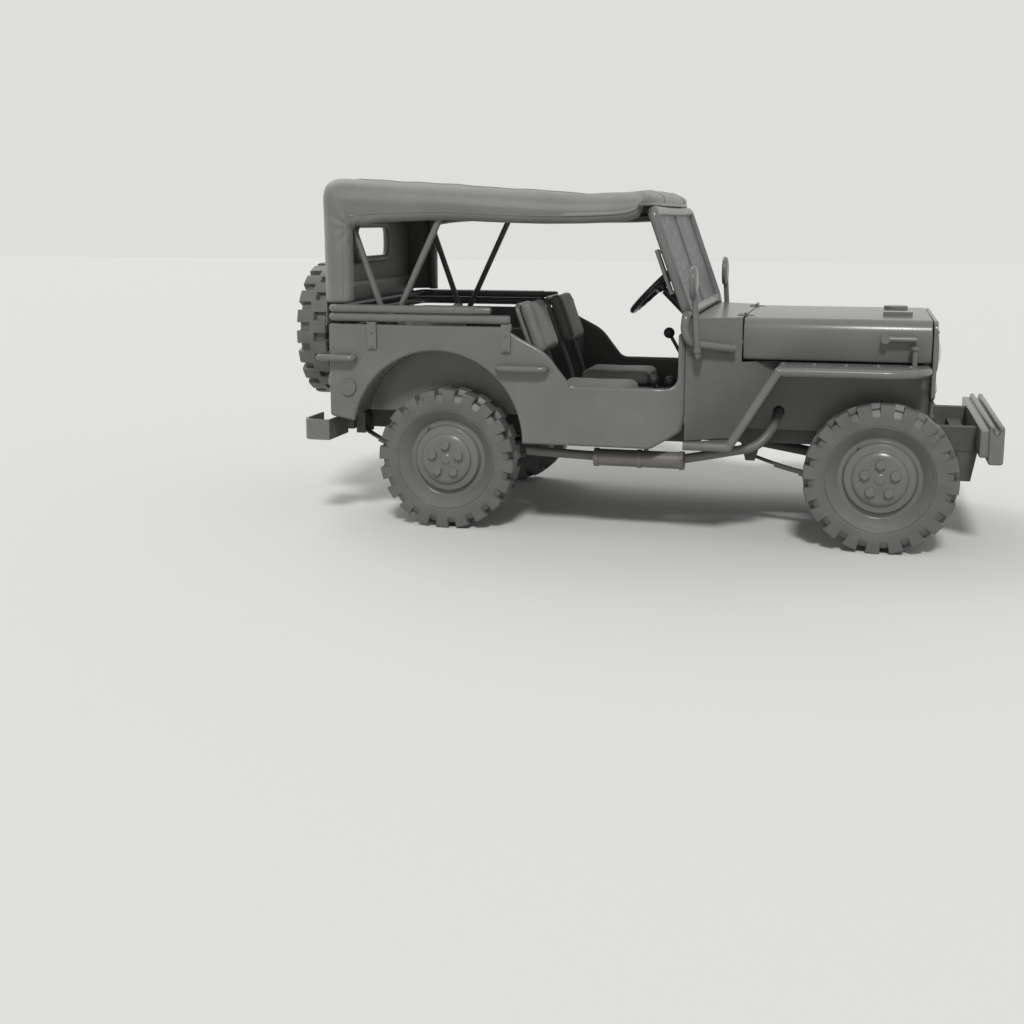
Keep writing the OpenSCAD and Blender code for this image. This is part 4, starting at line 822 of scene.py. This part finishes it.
def sheet_points():
    """Section at each station: a half circle that rolls the edge under, the side plane, a quarter bend
    up to the roof line, and across with a low crown. The band swells between roll and bend, the roof
    sags between the bows, and the cloth puckers a little where it is pulled."""
    lip = np.minimum(LIP, 0.42 * drop)[:, None]
    size = np.minimum(BEND, drop - lip[:, 0])[:, None]
    roll_in = drop[:, None] - lip + lip * np.sin(roll)
    roll_y = TOP_Y - lip + lip * np.cos(roll)
    reach = np.maximum(drop[:, None] - lip - size, 0.0)
    side_in = size + side_share * reach
    side_y = TOP_Y + 0 * side_in
    bend_in = size * (1 - np.sin(bend))
    bend_y = TOP_Y - BEND * (1 - np.cos(bend)) + 0 * size
    half_in = np.concatenate([roll_in, side_in, bend_in], 1)
    half_y = np.concatenate([roll_y, side_y, bend_y], 1)
    # Fullness: most at the middle of the band, none at the roof line and at the rolled edge
    half_y = half_y + SWELL * np.sin(np.pi * np.clip(half_in / np.maximum(drop[:, None], 1e-6), 0, 1)) ** 2 * (
        np.clip(drop / 0.16, 0, 1)[:, None])
    flat_y = np.broadcast_to(flat, (len(lines), len(flat)))
    crown = CROWN * (1 - (flat_y / (TOP_Y - BEND)) ** 2)
    along = np.cumsum(np.linalg.norm(np.diff(roof, axis=0, prepend=roof[:1]), axis=-1))[:, None]
    sag = SAG * np.sin(2 * np.pi * along / SAG_WAVE) * np.cos(np.pi * flat_y / 1.3) ** 2
    pucker = PUCKER * np.sin(2 * np.pi * (along + 0.35 * np.abs(flat_y)) / PUCKER_WAVE)
    lift = crown - 0.004 + np.clip(sag + pucker, -0.006, 0.002)
    count = half_in.shape[1]
    depth = np.concatenate([half_in, 0 * flat_y[:, 1:-1], half_in[:, ::-1]], 1)
    y = np.concatenate([half_y, flat_y[:, 1:-1], -half_y[:, ::-1]], 1)
    rise = np.concatenate([0 * half_in, lift[:, 1:-1], 0 * half_in], 1)
    rise[:, count - 1], rise[:, -count] = lift[:, 0], lift[:, -1]
    points = roof[:, None] + depth[..., None] * inward[:, None] + rise[..., None] * above[:, None]
    # Slack folds run out from the corner between roof and rear leg
    corner = np.hypot(points[..., 0] - FOLD_X, points[..., 2] - FOLD_Z)
    swing = np.arctan2(points[..., 2] - FOLD_Z, FOLD_X - points[..., 0])
    fold = FOLD * np.sin(9 * swing) * np.exp(-(corner / 0.11) ** 2) * np.clip(depth / 0.12, 0, 1)
    points[..., 1] = y + np.sign(y) * fold
    # The front edge is rounded in plan: it draws back towards each corner
    near_front = np.clip(1 - along / 0.16, 0, 1)
    points[..., 0] -= FRONT_DRAW * near_front * np.clip((np.abs(y) - 0.46) / 0.24, 0, 1) ** 2
    return points


cloth = sheet_points()
across_run = np.cumsum(np.linalg.norm(np.diff(cloth, axis=1, prepend=cloth[:, :1]), axis=-1), 1)
along_run = np.cumsum(np.linalg.norm(np.diff(cloth, axis=0, prepend=cloth[:1]), axis=-1), 0)
centre_run = along_run[:, cloth.shape[1] // 2]
print("cloth", cloth.shape, "girth", across_run[:, -1].max().round(3), "length", centre_run[-1].round(3))

# %% Cutting the back window and sewing the sheet
points, quads = grid(cloth)
middle = points[quads].mean(1)
window = (np.abs(middle[:, 1]) < WINDOW_Y) & (middle[:, 0] < -1.40)
window &= (middle[:, 2] > WINDOW_Z[0]) & (middle[:, 2] < WINDOW_Z[1])
quads = quads[~window]
top = bpy.data.meshes.new("canvas_sheet")
top.from_pydata(points.tolist(), [], quads.tolist())
uv = np.stack([(across_run - across_run[:, -1:] / 2).ravel(), np.repeat(centre_run, cloth.shape[1])], -1)
corner = np.zeros(len(top.loops), np.int32)
top.loops.foreach_get("vertex_index", corner)
top.uv_layers.new(name="cut").data.foreach_set("uv", uv[corner].astype(np.float32).ravel())
work = bmesh.new()
work.from_mesh(top)
bmesh.ops.recalc_face_normals(work, faces=work.faces)
if max(work.faces, key=lambda f: f.calc_center_median().z).normal.z < 0:
    bmesh.ops.reverse_faces(work, faces=work.faces)
bmesh.ops.delete(work, geom=[v for v in work.verts if not v.link_faces], context="VERTS")
area = sum(f.calc_area() for f in work.faces)
work.to_mesh(top)
work.free()
top.shade_smooth()
top.materials.append(canvas)
canvas_sheet = linked("canvas_sheet", top)
thick = canvas_sheet.modifiers.new("cloth_thickness", "SOLIDIFY")
thick.thickness, thick.offset = 0.005, -1.0
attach(canvas_sheet, "chassis")
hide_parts("canvas_top")
print("canvas area", round(area, 3))

# %% Front hem, seams and window binding
front_hem = tube(cloth[0, 14:-14:2], 0.0070, 0.01, 12)
seams = []
for y in (0.33, -0.33):
    column = np.argmin(np.abs(cloth[20, :, 1] - y))
    seams.append(tube(cloth[2:, column] + 0.0005 * above[2:], 0.0030, 0.01, 8))
for column in (13, cloth.shape[1] - 14):
    seams.append(tube(cloth[10:-2, column], 0.0026, 0.01, 8))
binding_path = [(-1.4880, s * w, 1.37 + h) for s, w, h in (
    (1, 0.0, -0.092), (1, 0.242, -0.092), (1, 0.242, 0.092), (-1, 0.242, 0.092), (-1, 0.242, -0.092), (1, 0.0, -0.092))]
binding = tube(binding_path, 0.0200, 0.070, 16)
# A flap sewn inside the back panel hangs behind the tub, with a corded hem
FLAP_X, FLAP_TOP, FLAP_LONG = -1.4800, 1.170, 0.185
t, y = np.linspace(0, 1, 15), np.linspace(-0.650, 0.650, 41)
z = np.concatenate([FLAP_TOP - FLAP_LONG * t, 0.979 + 0.006 * np.cos(np.pi * t[1:-1]), 0.985 + FLAP_LONG * t[:-1]])
half = np.concatenate([-0.0022 + 0 * t, -0.0060 * np.sin(np.pi * t[1:-1]), 0.0022 + 0 * t[:-1]])
wave = 0.004 * np.sin(2 * np.pi * y / 0.31)[:, None] * np.clip((FLAP_TOP - z) / FLAP_LONG, 0, 1)
flap = np.stack([FLAP_X + wave + half, y[:, None] + 0 * wave, z + 0 * wave], -1)
ends = [row * (0, 1, 1) + (FLAP_X, 0, 0) for row in (flap[:1], flap[-1:])]
flap = grid(np.concatenate([ends[0], flap, ends[1]]), wrap_columns=True)
trim = piece("canvas_trim", [front_hem, binding, flap] + seams, canvas)

# %% [markdown]
# ## Stuffed seats
# Seat pads are cotton duck over horsehair, so they crown in the middle and pull in at the seams.
# A pad could be sculpted by hand, but cloth under pressure finds the shape by itself: a slightly
# smaller block is remeshed, blown up for twenty frames with gravity off, and its swelling capped.


# %% Pads blown up from blocks
VOXEL, PRESSURE, FRAMES, WELT, WELT_WIDE = 0.011, 4.0, 20, 0.016, 0.006


def pad(name, centre, size, lean, cap, stands_for):
    """A block of the given size, leaned back about Y, remeshed and inflated as cloth, then welted."""
    half = np.array(size) / 2
    mesh = bpy.data.meshes.new(name)
    corners, faces = plate(-half, half)
    mesh.from_pydata(corners.tolist(), [], faces.tolist())
    thing = linked(name, mesh)
    bevel = thing.modifiers.new("soft_edge", "BEVEL")
    bevel.width, bevel.segments = 0.42 * min(size), 4
    remesh = thing.modifiers.new("even_mesh", "REMESH")
    remesh.mode, remesh.voxel_size = "VOXEL", VOXEL
    bpy.context.view_layer.update()
    mesh = bpy.data.meshes.new_from_object(thing.evaluated_get(bpy.context.evaluated_depsgraph_get()))
    thing.modifiers.clear()
    thing.data = mesh
    start = np.zeros(len(mesh.vertices) * 3, np.float32)
    mesh.vertices.foreach_get("co", start)
    start = start.reshape(-1, 3)
    done = start
    cloth = thing.modifiers.new("stuffing", "CLOTH")
    cloth.settings.use_pressure, cloth.settings.uniform_pressure_force = True, PRESSURE
    cloth.settings.effector_weights.gravity = 0.0
    cloth.settings.quality, cloth.settings.mass = 4, 0.3
    cloth.point_cache.frame_start, cloth.point_cache.frame_end = 1, FRAMES
    for step in range(1, FRAMES + 1):
        bpy.context.scene.frame_set(step)
    blown = thing.evaluated_get(bpy.context.evaluated_depsgraph_get()).data
    done = np.zeros(len(blown.vertices) * 3, np.float32)
    blown.vertices.foreach_get("co", done)
    done = done.reshape(-1, 3)
    thing.modifiers.clear()
    bpy.context.scene.frame_set(1)
    moved = done - start
    far = np.linalg.norm(moved, axis=1, keepdims=True)
    shape = start + moved * np.minimum(1, cap / np.maximum(far, 1e-9))
    # A sewn welt runs round the middle of the pad's edge, where the two covers meet
    welt = np.exp(-((shape[:, 2] - 0.25 * half[2]) / WELT_WIDE) ** 2)
    edge_in = np.maximum(np.abs(shape[:, 0]) / half[0], np.abs(shape[:, 1]) / half[1]) > 0.9
    shape[:, :2] *= 1 - WELT * (welt * edge_in)[:, None]
    c, s = math.cos(math.radians(lean)), math.sin(math.radians(lean))
    turn = np.array([[c, 0, s], [0, 1, 0], [-s, 0, c]])
    mesh.vertices.foreach_set("co", (shape @ turn.T + np.array(centre)).astype(np.float32).ravel())
    mesh.update()
    mesh.shade_smooth()
    mesh.materials.clear()
    mesh.materials.append(duck)
    soften = thing.modifiers.new("soft_cover", "SUBSURF")
    soften.levels = soften.render_levels = 1
    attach(thing, "chassis")
    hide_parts(stands_for)
    print(name, len(mesh.vertices), "points, swelled", round(float(far.max()), 4))
    return thing


BENCH_LEAN = 11.02
lean, bench_lean = math.radians(LEAN), math.radians(BENCH_LEAN)
for side, s in (("left", 1), ("right", -1)):
    pad("seat_pad_" + side, (R + 0.672, s * SEAT_Y, 0.6590), (0.384, 0.326, 0.066), 0, 0.008, "seat_cushions")
    pad("back_pad_" + side, (R + 0.392 + 0.0445 * math.cos(lean) - 0.162 * math.sin(lean), s * SEAT_Y,
                             0.800 + 0.0445 * math.sin(lean) + 0.162 * math.cos(lean)),
        (0.054, 0.326, 0.264), -LEAN, 0.007, "seat_backs")
pad("bench_pad", (R + 0.012, 0.0, 0.7300), (0.408, 0.924, 0.074), 0, 0.009, "seat_cushions")
pad("bench_back_pad", (R - 0.260 + 0.046 * math.cos(bench_lean) - 0.236 * math.sin(bench_lean), 0.0,
                       BENCH_Z + 0.046 * math.sin(bench_lean) + 0.236 * math.cos(bench_lean)),
    (0.050, 0.924, 0.226), -BENCH_LEAN, 0.007, "seat_backs")

# %% [markdown]
# ## Steering wheel
# A thick moulded rim on three steel spokes, with finger bumps on its underside. The rim is a
# circle carried round a circle, its tube swelling a little at each of twenty-four bumps.

# %% Rim, spokes and hub
STEER, SPOKES, BUMPS, BUMP = np.array([0.01625, 0.330, 1.146]), 3, 24, 0.0016
STEER_R, GRIP = 0.199, 0.0155
tilt = np.array([math.sin(math.radians(45)), 0, -math.cos(math.radians(45))])
way, first, second = across(-tilt)
turn = np.linspace(0, 2 * np.pi, 192, endpoint=False)[:, None]
small = np.linspace(0, 2 * np.pi, 20, endpoint=False)[None, :]
thick = GRIP - BUMP * (0.5 + 0.5 * np.cos(BUMPS * turn)) * np.clip(-np.sin(small), 0, 1)
spread = STEER_R + thick * np.cos(small)
wheel_rim = (STEER + spread[..., None] * (np.cos(turn)[..., None] * first + np.sin(turn)[..., None] * second)
             + (thick * np.sin(small))[..., None] * way)
parts = [grid(wheel_rim, wrap_rows=True, wrap_columns=True)]
for angle in 2 * np.pi * np.arange(SPOKES) / SPOKES + 0.9:
    spin = np.cos(angle) * first + np.sin(angle) * second
    parts.append(tube([STEER + 0.020 * spin, STEER + 0.198 * spin], 0.0085, sides=14))
parts.append(turned([(-0.034, 0.014), (-0.034, 0.026), (-0.030, 0.030), (0.008, 0.030), (0.016, 0.024), (0.020, 0.012),
                     (0.021, 0.0)], 40, STEER, way))
piece("steering_rim", parts, phenolic, "steering_wheel", 40, ["steering_wheel"])

# %% [markdown]
# ## Bolts
# Small fittings tell the eye how big a car is. Hex bolts hold its bumpers, brackets, grille and
# fenders. Threads and nuts behind the sheet never show, so one six-sided head on a washer, of a few
# dozen faces, is repeated wherever a bolt stands.


# %% Bolts
def bolt(place, axis, size=0.010):
    """A washer and a six-sided head with a chamfered top, standing on place along axis."""
    washer = [(0, 0), (0, 1.5 * size), (0.22 * size, 1.4 * size), (0.22 * size, 0.0)]
    head = [(0, 0), (0, size), (0.7 * size, size), (0.9 * size, 0.8 * size), (0.9 * size, 0.0)]
    return [turned(washer, 16, place, axis), turned(head, 6, place, axis)]


bolts = []
for y in (0.300, 0.390):
    for z in (0.455, 0.535):
        bolts += bolt((BUMPER_X, y, z), AHEAD, 0.011)
for x in (R + 0.310, R - 0.358):
    for z in (0.885, 0.955):
        bolts += bolt((x, BODY_Y + 0.012, z), LEFT, 0.009)
for y, z in ((0.350, 0.585), (0.450, 0.985), (0.180, 0.600), (0.180, 0.990)):
    bolts += bolt((GRILLE_BACK + 0.018, y, z), AHEAD, 0.008)
for x in (0.72, 0.86, 1.00, 1.14, 1.28):
    bolts += bolt((x, 0.560, 0.835), UP, 0.007)
for y in (0.520, 0.600):
    bolts += bolt((REAR_FACE - 0.147, y, 0.465), (-1, 0, 0), 0.011)
piece("fixing_bolts", mirrored(bolts), enamel, crease=30)

# %% [markdown]
# ## Engine and radiator
# The lifted hood shows a side-valve engine of four cylinders behind a finned radiator. A plain block
# would look unfinished there, so the castings are stacked as they are on the real one: sump,
# crankcase, cylinders and a flat bolted head, a round bell housing behind and pulleys, belt and fan
# in front, with manifold and carburettor on the right, and generator and oil filter on the left.


# %% Castings
ENGINE_Y, HEAD_Y, HEAD_Z = 0.010, 0.020, 0.858


def casting(x, z, half, y, ease=0.014):
    """A block with rounded edges: a rectangle in the long section, carried across the car about y."""
    corners = [(0.5 * (x[0] + x[1]), z[0]), (x[1], z[0]), (x[1], z[1]), (x[0], z[1]), (x[0], z[0])]
    points, faces = channel(corners, half, ease, 0.6 * ease)
    return points + np.array([0.0, y, 0.0]), faces


castings = [casting(*row) for row in (
    # both ends, foot and top, half width, middle across the car, rounding: sump, crankcase, cylinders, head
    ((0.688, 1.188), (0.445, 0.500), 0.122, 0.005), ((0.640, 1.172), (0.495, 0.680), 0.152, ENGINE_Y),
    ((0.662, 1.150), (0.670, 0.820), 0.108, HEAD_Y), ((0.652, 1.158), (0.816, HEAD_Z), 0.118, HEAD_Y, 0.008))]
bell = [(0.0, 0.0), (0.0, 0.150), (0.004, 0.163), (0.030, 0.165), (0.036, 0.150), (0.060, 0.130), (0.060, 0.0)]
castings.append(turned(bell, 64, (0.610, ENGINE_Y, 0.662), AHEAD))
castings += mirrored([plate((0.868, 0.140, 0.500), (0.928, 0.314, 0.540))])
for x in np.linspace(0.680, 1.130, 6):
    for y in (-0.075, HEAD_Y, 0.115):
        castings += bolt((x, y, HEAD_Z), UP, 0.009)
piece("engine_castings", castings, cast_iron, crease=40, stands_for=["engine"])

# %% Manifold, plugs and cans
CRANK_Z, PUMP_Z, HUB_R = 0.560, 0.760, 0.026
fittings = [tube([(0.698, -0.128, 0.745), (1.100, -0.128, 0.745)], 0.026),
            tube([(0.698, -0.128, 0.745), (0.698, -0.134, 0.670), (0.698, -0.166, 0.600)], 0.023, 0.030)]
plug = [(0.0, 0.0), (0.0, 0.013), (0.010, 0.013), (0.010, 0.008), (0.026, 0.006), (0.028, 0.0)]
# Each cylinder has a port to the manifold and a plug, whose lead bends over to the distributor
for x in (0.730, 0.850, 0.970, 1.080):
    fittings.append(tube([(x, -0.082, 0.735), (x, -0.128, 0.745)], 0.021))
    fittings.append(turned(plug, 12, (x - 0.010, 0.066, HEAD_Z), UP))
    fittings.append(tube([(x - 0.010, 0.066, 0.880), (x - 0.010, 0.110, 0.896), (0.905, 0.152, 0.870),
                          (0.905, 0.156, 0.810)], 0.0042, 0.030, 8))
# One ribbed can, one unit tall and wide, serves for round fittings of every size
can = [(0.0, 0.0), (0.0, 0.9), (0.06, 1.0), (0.45, 1.0), (0.47, 1.06), (0.53, 1.06), (0.55, 1.0), (0.93, 1.0),
       (1.0, 0.85), (1.0, 0.0)]
for place, axis, tall, wide in (
    # air cleaner and carburettor, oil filter and generator, distributor and crank pulley, pump pulley and fan hub
    ((1.040, -0.122, 0.778), UP, 0.112, 0.044), ((0.880, -0.130, 0.768), UP, 0.100, 0.032),
    ((0.780, 0.150, 0.600), UP, 0.180, 0.042), ((0.960, 0.146, 0.640), AHEAD, 0.190, 0.046),
    ((0.905, 0.156, 0.700), UP, 0.110, 0.030), ((1.165, ENGINE_Y, CRANK_Z), AHEAD, 0.034, 0.072),
    ((1.150, ENGINE_Y, PUMP_Z), AHEAD, 0.050, 0.056), ((1.200, ENGINE_Y, PUMP_Z), AHEAD, 0.022, 0.030),
):
    fittings.append(turned([(tall * a, wide * r) for a, r in can], 40, place, axis))
print(len(fittings), "fittings")

# %% Air pipe, belt and fan
fittings.append(tube([(1.040, -0.122, 0.880), (1.030, -0.122, 0.912), (0.880, -0.130, 0.908),
                      (0.880, -0.130, 0.862)], 0.020, 0.036))
belt = ((0.0, 0.486), (0.078, 0.500), (0.060, 0.800), (0.0, 0.820), (-0.060, 0.800), (-0.078, 0.500), (0.0, 0.486))
fittings.append(tube([(1.184, ENGINE_Y + y, z) for y, z in belt], 0.007, 0.070, 10))
span, chord = np.linspace(HUB_R, 0.150, 9)[:, None], np.linspace(-1, 1, 7)[None, :]
for k in range(4):
    # A blade widens towards its tip and is pitched along the car
    spin = 0.5 * np.pi * k + 0.35 + 0.30 * chord * np.sqrt(HUB_R / span) ** 0.5
    shape = np.stack([1.2110 + 0.012 * chord + 0 * span, ENGINE_Y + span * np.cos(spin),
                      PUMP_Z + span * np.sin(spin)], -1)
    blade = np.concatenate([shape + (0.0010, 0, 0), (shape - (0.0010, 0, 0))[:, ::-1]], 1)
    ends = [0.5 * (row + row[:, ::-1]) for row in (blade[:1], blade[-1:])]
    fittings.append(grid(np.concatenate([ends[0], blade, ends[1]]), wrap_columns=True))
piece("engine_fittings", fittings, dark_steel, crease=40)

# %% Radiator and hose
core = [plate((1.300, -0.226, 0.590), (1.342, 0.226, 0.900))]
core += [plate((1.293, y, 0.596), (1.349, y + 0.0016, 0.896)) for y in np.linspace(-0.226, 0.2244, 44)]
core += [casting((1.2915, 1.3510), z, 0.235, 0.0) for z in ((0.884, 0.960), (0.545, 0.604))]
cap = [(0.0, 0.0), (0.0, 0.022), (0.010, 0.022), (0.010, 0.031), (0.020, 0.031), (0.024, 0.026), (0.024, 0.0)]
core.append(turned(cap, 32, (1.321, 0.0, 0.956), UP))
piece("radiator_core", core, chassis_coat, crease=40, stands_for=["radiator"])
piece("water_hose", [tube([(1.110, 0.020, 0.846), (1.150, 0.020, 0.900), (1.300, 0.020, 0.922)], 0.022, 0.050)], rubber)

# %% [markdown]
# ## Lamps, mirrors and windscreen fittings
# Lamp rims, dials and mirrors are spun from thin sheet, and the pane sits in a rubber gasket. A bevel
# on the solids would not give their thin lips, so each is a turned profile or a bent tube.

# %% Lamp bezels, reflectors and dials
lamps = []
reflector = [(0.0, 0.0), (0.0, 0.036), (0.006, 0.040), (0.013, 0.038), (0.014, 0.031), (0.0105, 0.029), (0.0105, 0.0)]
bezel = [(0.018, 0.079), (0.018, 0.0935), (0.022, 0.0945), (0.027, 0.0905), (0.030, 0.0845), (0.027, 0.079)]
for s in (1, -1):
    lamps.append(turned(reflector, 40, (R - 0.485, s * BODY_Y, 0.680), (0, s, 0)))
    lamps.append(turned(bezel, 64, (GRILLE_BACK, s * 0.320, 0.880), AHEAD))
piece("lamp_rims", lamps, enamel)
dials = []
for y, size in ((0.330, 0.046), (0.215, 0.028), (0.445, 0.028)):
    face = [(0.0, 0.0), (0.0, size + 0.006), (0.006, size + 0.005), (0.008, size), (0.004, size - 0.001), (0.004, 0.0)]
    dials.append(turned(face, 40, (COWL_BACK, y, 0.985), (-1, 0, 0)))
piece("panel_dials", dials, dark_steel)

# %% Mirrors on their posts
post_x, head = COWL_BACK + 0.060, np.array([COWL_BACK + 0.036, 0.706, 1.206])
post = tube([(post_x, 0.606, 0.862), (post_x, 0.704, 0.862), (post_x - 0.004, 0.706, 0.900),
             (post_x - 0.024, 0.706, 1.206)], 0.014, 0.030, 18)
shell = turned([(-0.0125, 0.0), (-0.0125, 0.068), (-0.014, 0.071), (-0.013, 0.075), (-0.006, 0.078), (0.004, 0.077),
                (0.010, 0.070), (0.014, 0.052), (0.016, 0.0)], 48, head, AHEAD)
collar = turned([(0.0, 0.014), (0.0, 0.019), (0.018, 0.018), (0.020, 0.014)], 24,
                (post_x - 0.0035, 0.706, 0.892), UP)
piece("mirror_heads", mirrored([post, shell, collar]), tube_enamel, stands_for=["mirrors"])
silvered = turned([(-0.0135, 0.0), (-0.0135, 0.066), (-0.0128, 0.0675)], 48, head, AHEAD)
piece("mirror_silver", mirrored([silvered]), silver)

# %% Gasket, divider and clips of the windscreen
edge_y = HALF - 0.022
near, far = SCREEN_FOOT + 0.0225 * SCREEN_UP, SCREEN_HEAD - 0.0225 * SCREEN_UP
wide = np.array([0.0, edge_y, 0.0])
gasket = tube([near, near + wide, far + wide, far - wide, near - wide, near], 0.0065, 0.020, 12)
divider = tube([near, far], 0.0095, sides=12)
piece("screen_gasket", [gasket, divider], rubber)
clips = []
for y in (0.200, 0.440):
    up = SCREEN_HEAD + np.array([-0.022, y, 0.0])
    foot = up - 0.050 * SCREEN_UP
    clips.append(tube([foot, up + (-0.016, 0, 0.004), up + (-0.012, 0, 0.030)], 0.0065, 0.012, 12))
    clips.append(turned([(0.0, 0.0), (0.0, 0.012), (0.005, 0.012), (0.007, 0.009), (0.007, 0.0)], 20, foot, (-1, 0, 0)))
piece("header_clips", mirrored(clips), dark_steel)

# %% [markdown]
# ## Last look
# The box of the dressed car is printed; cloth and bolt heads may stand a little proud of the solids.

# %% Sizes, then finish
low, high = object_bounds()
print("visual box", [round(b - a, 3) for a, b in zip(low, high)])
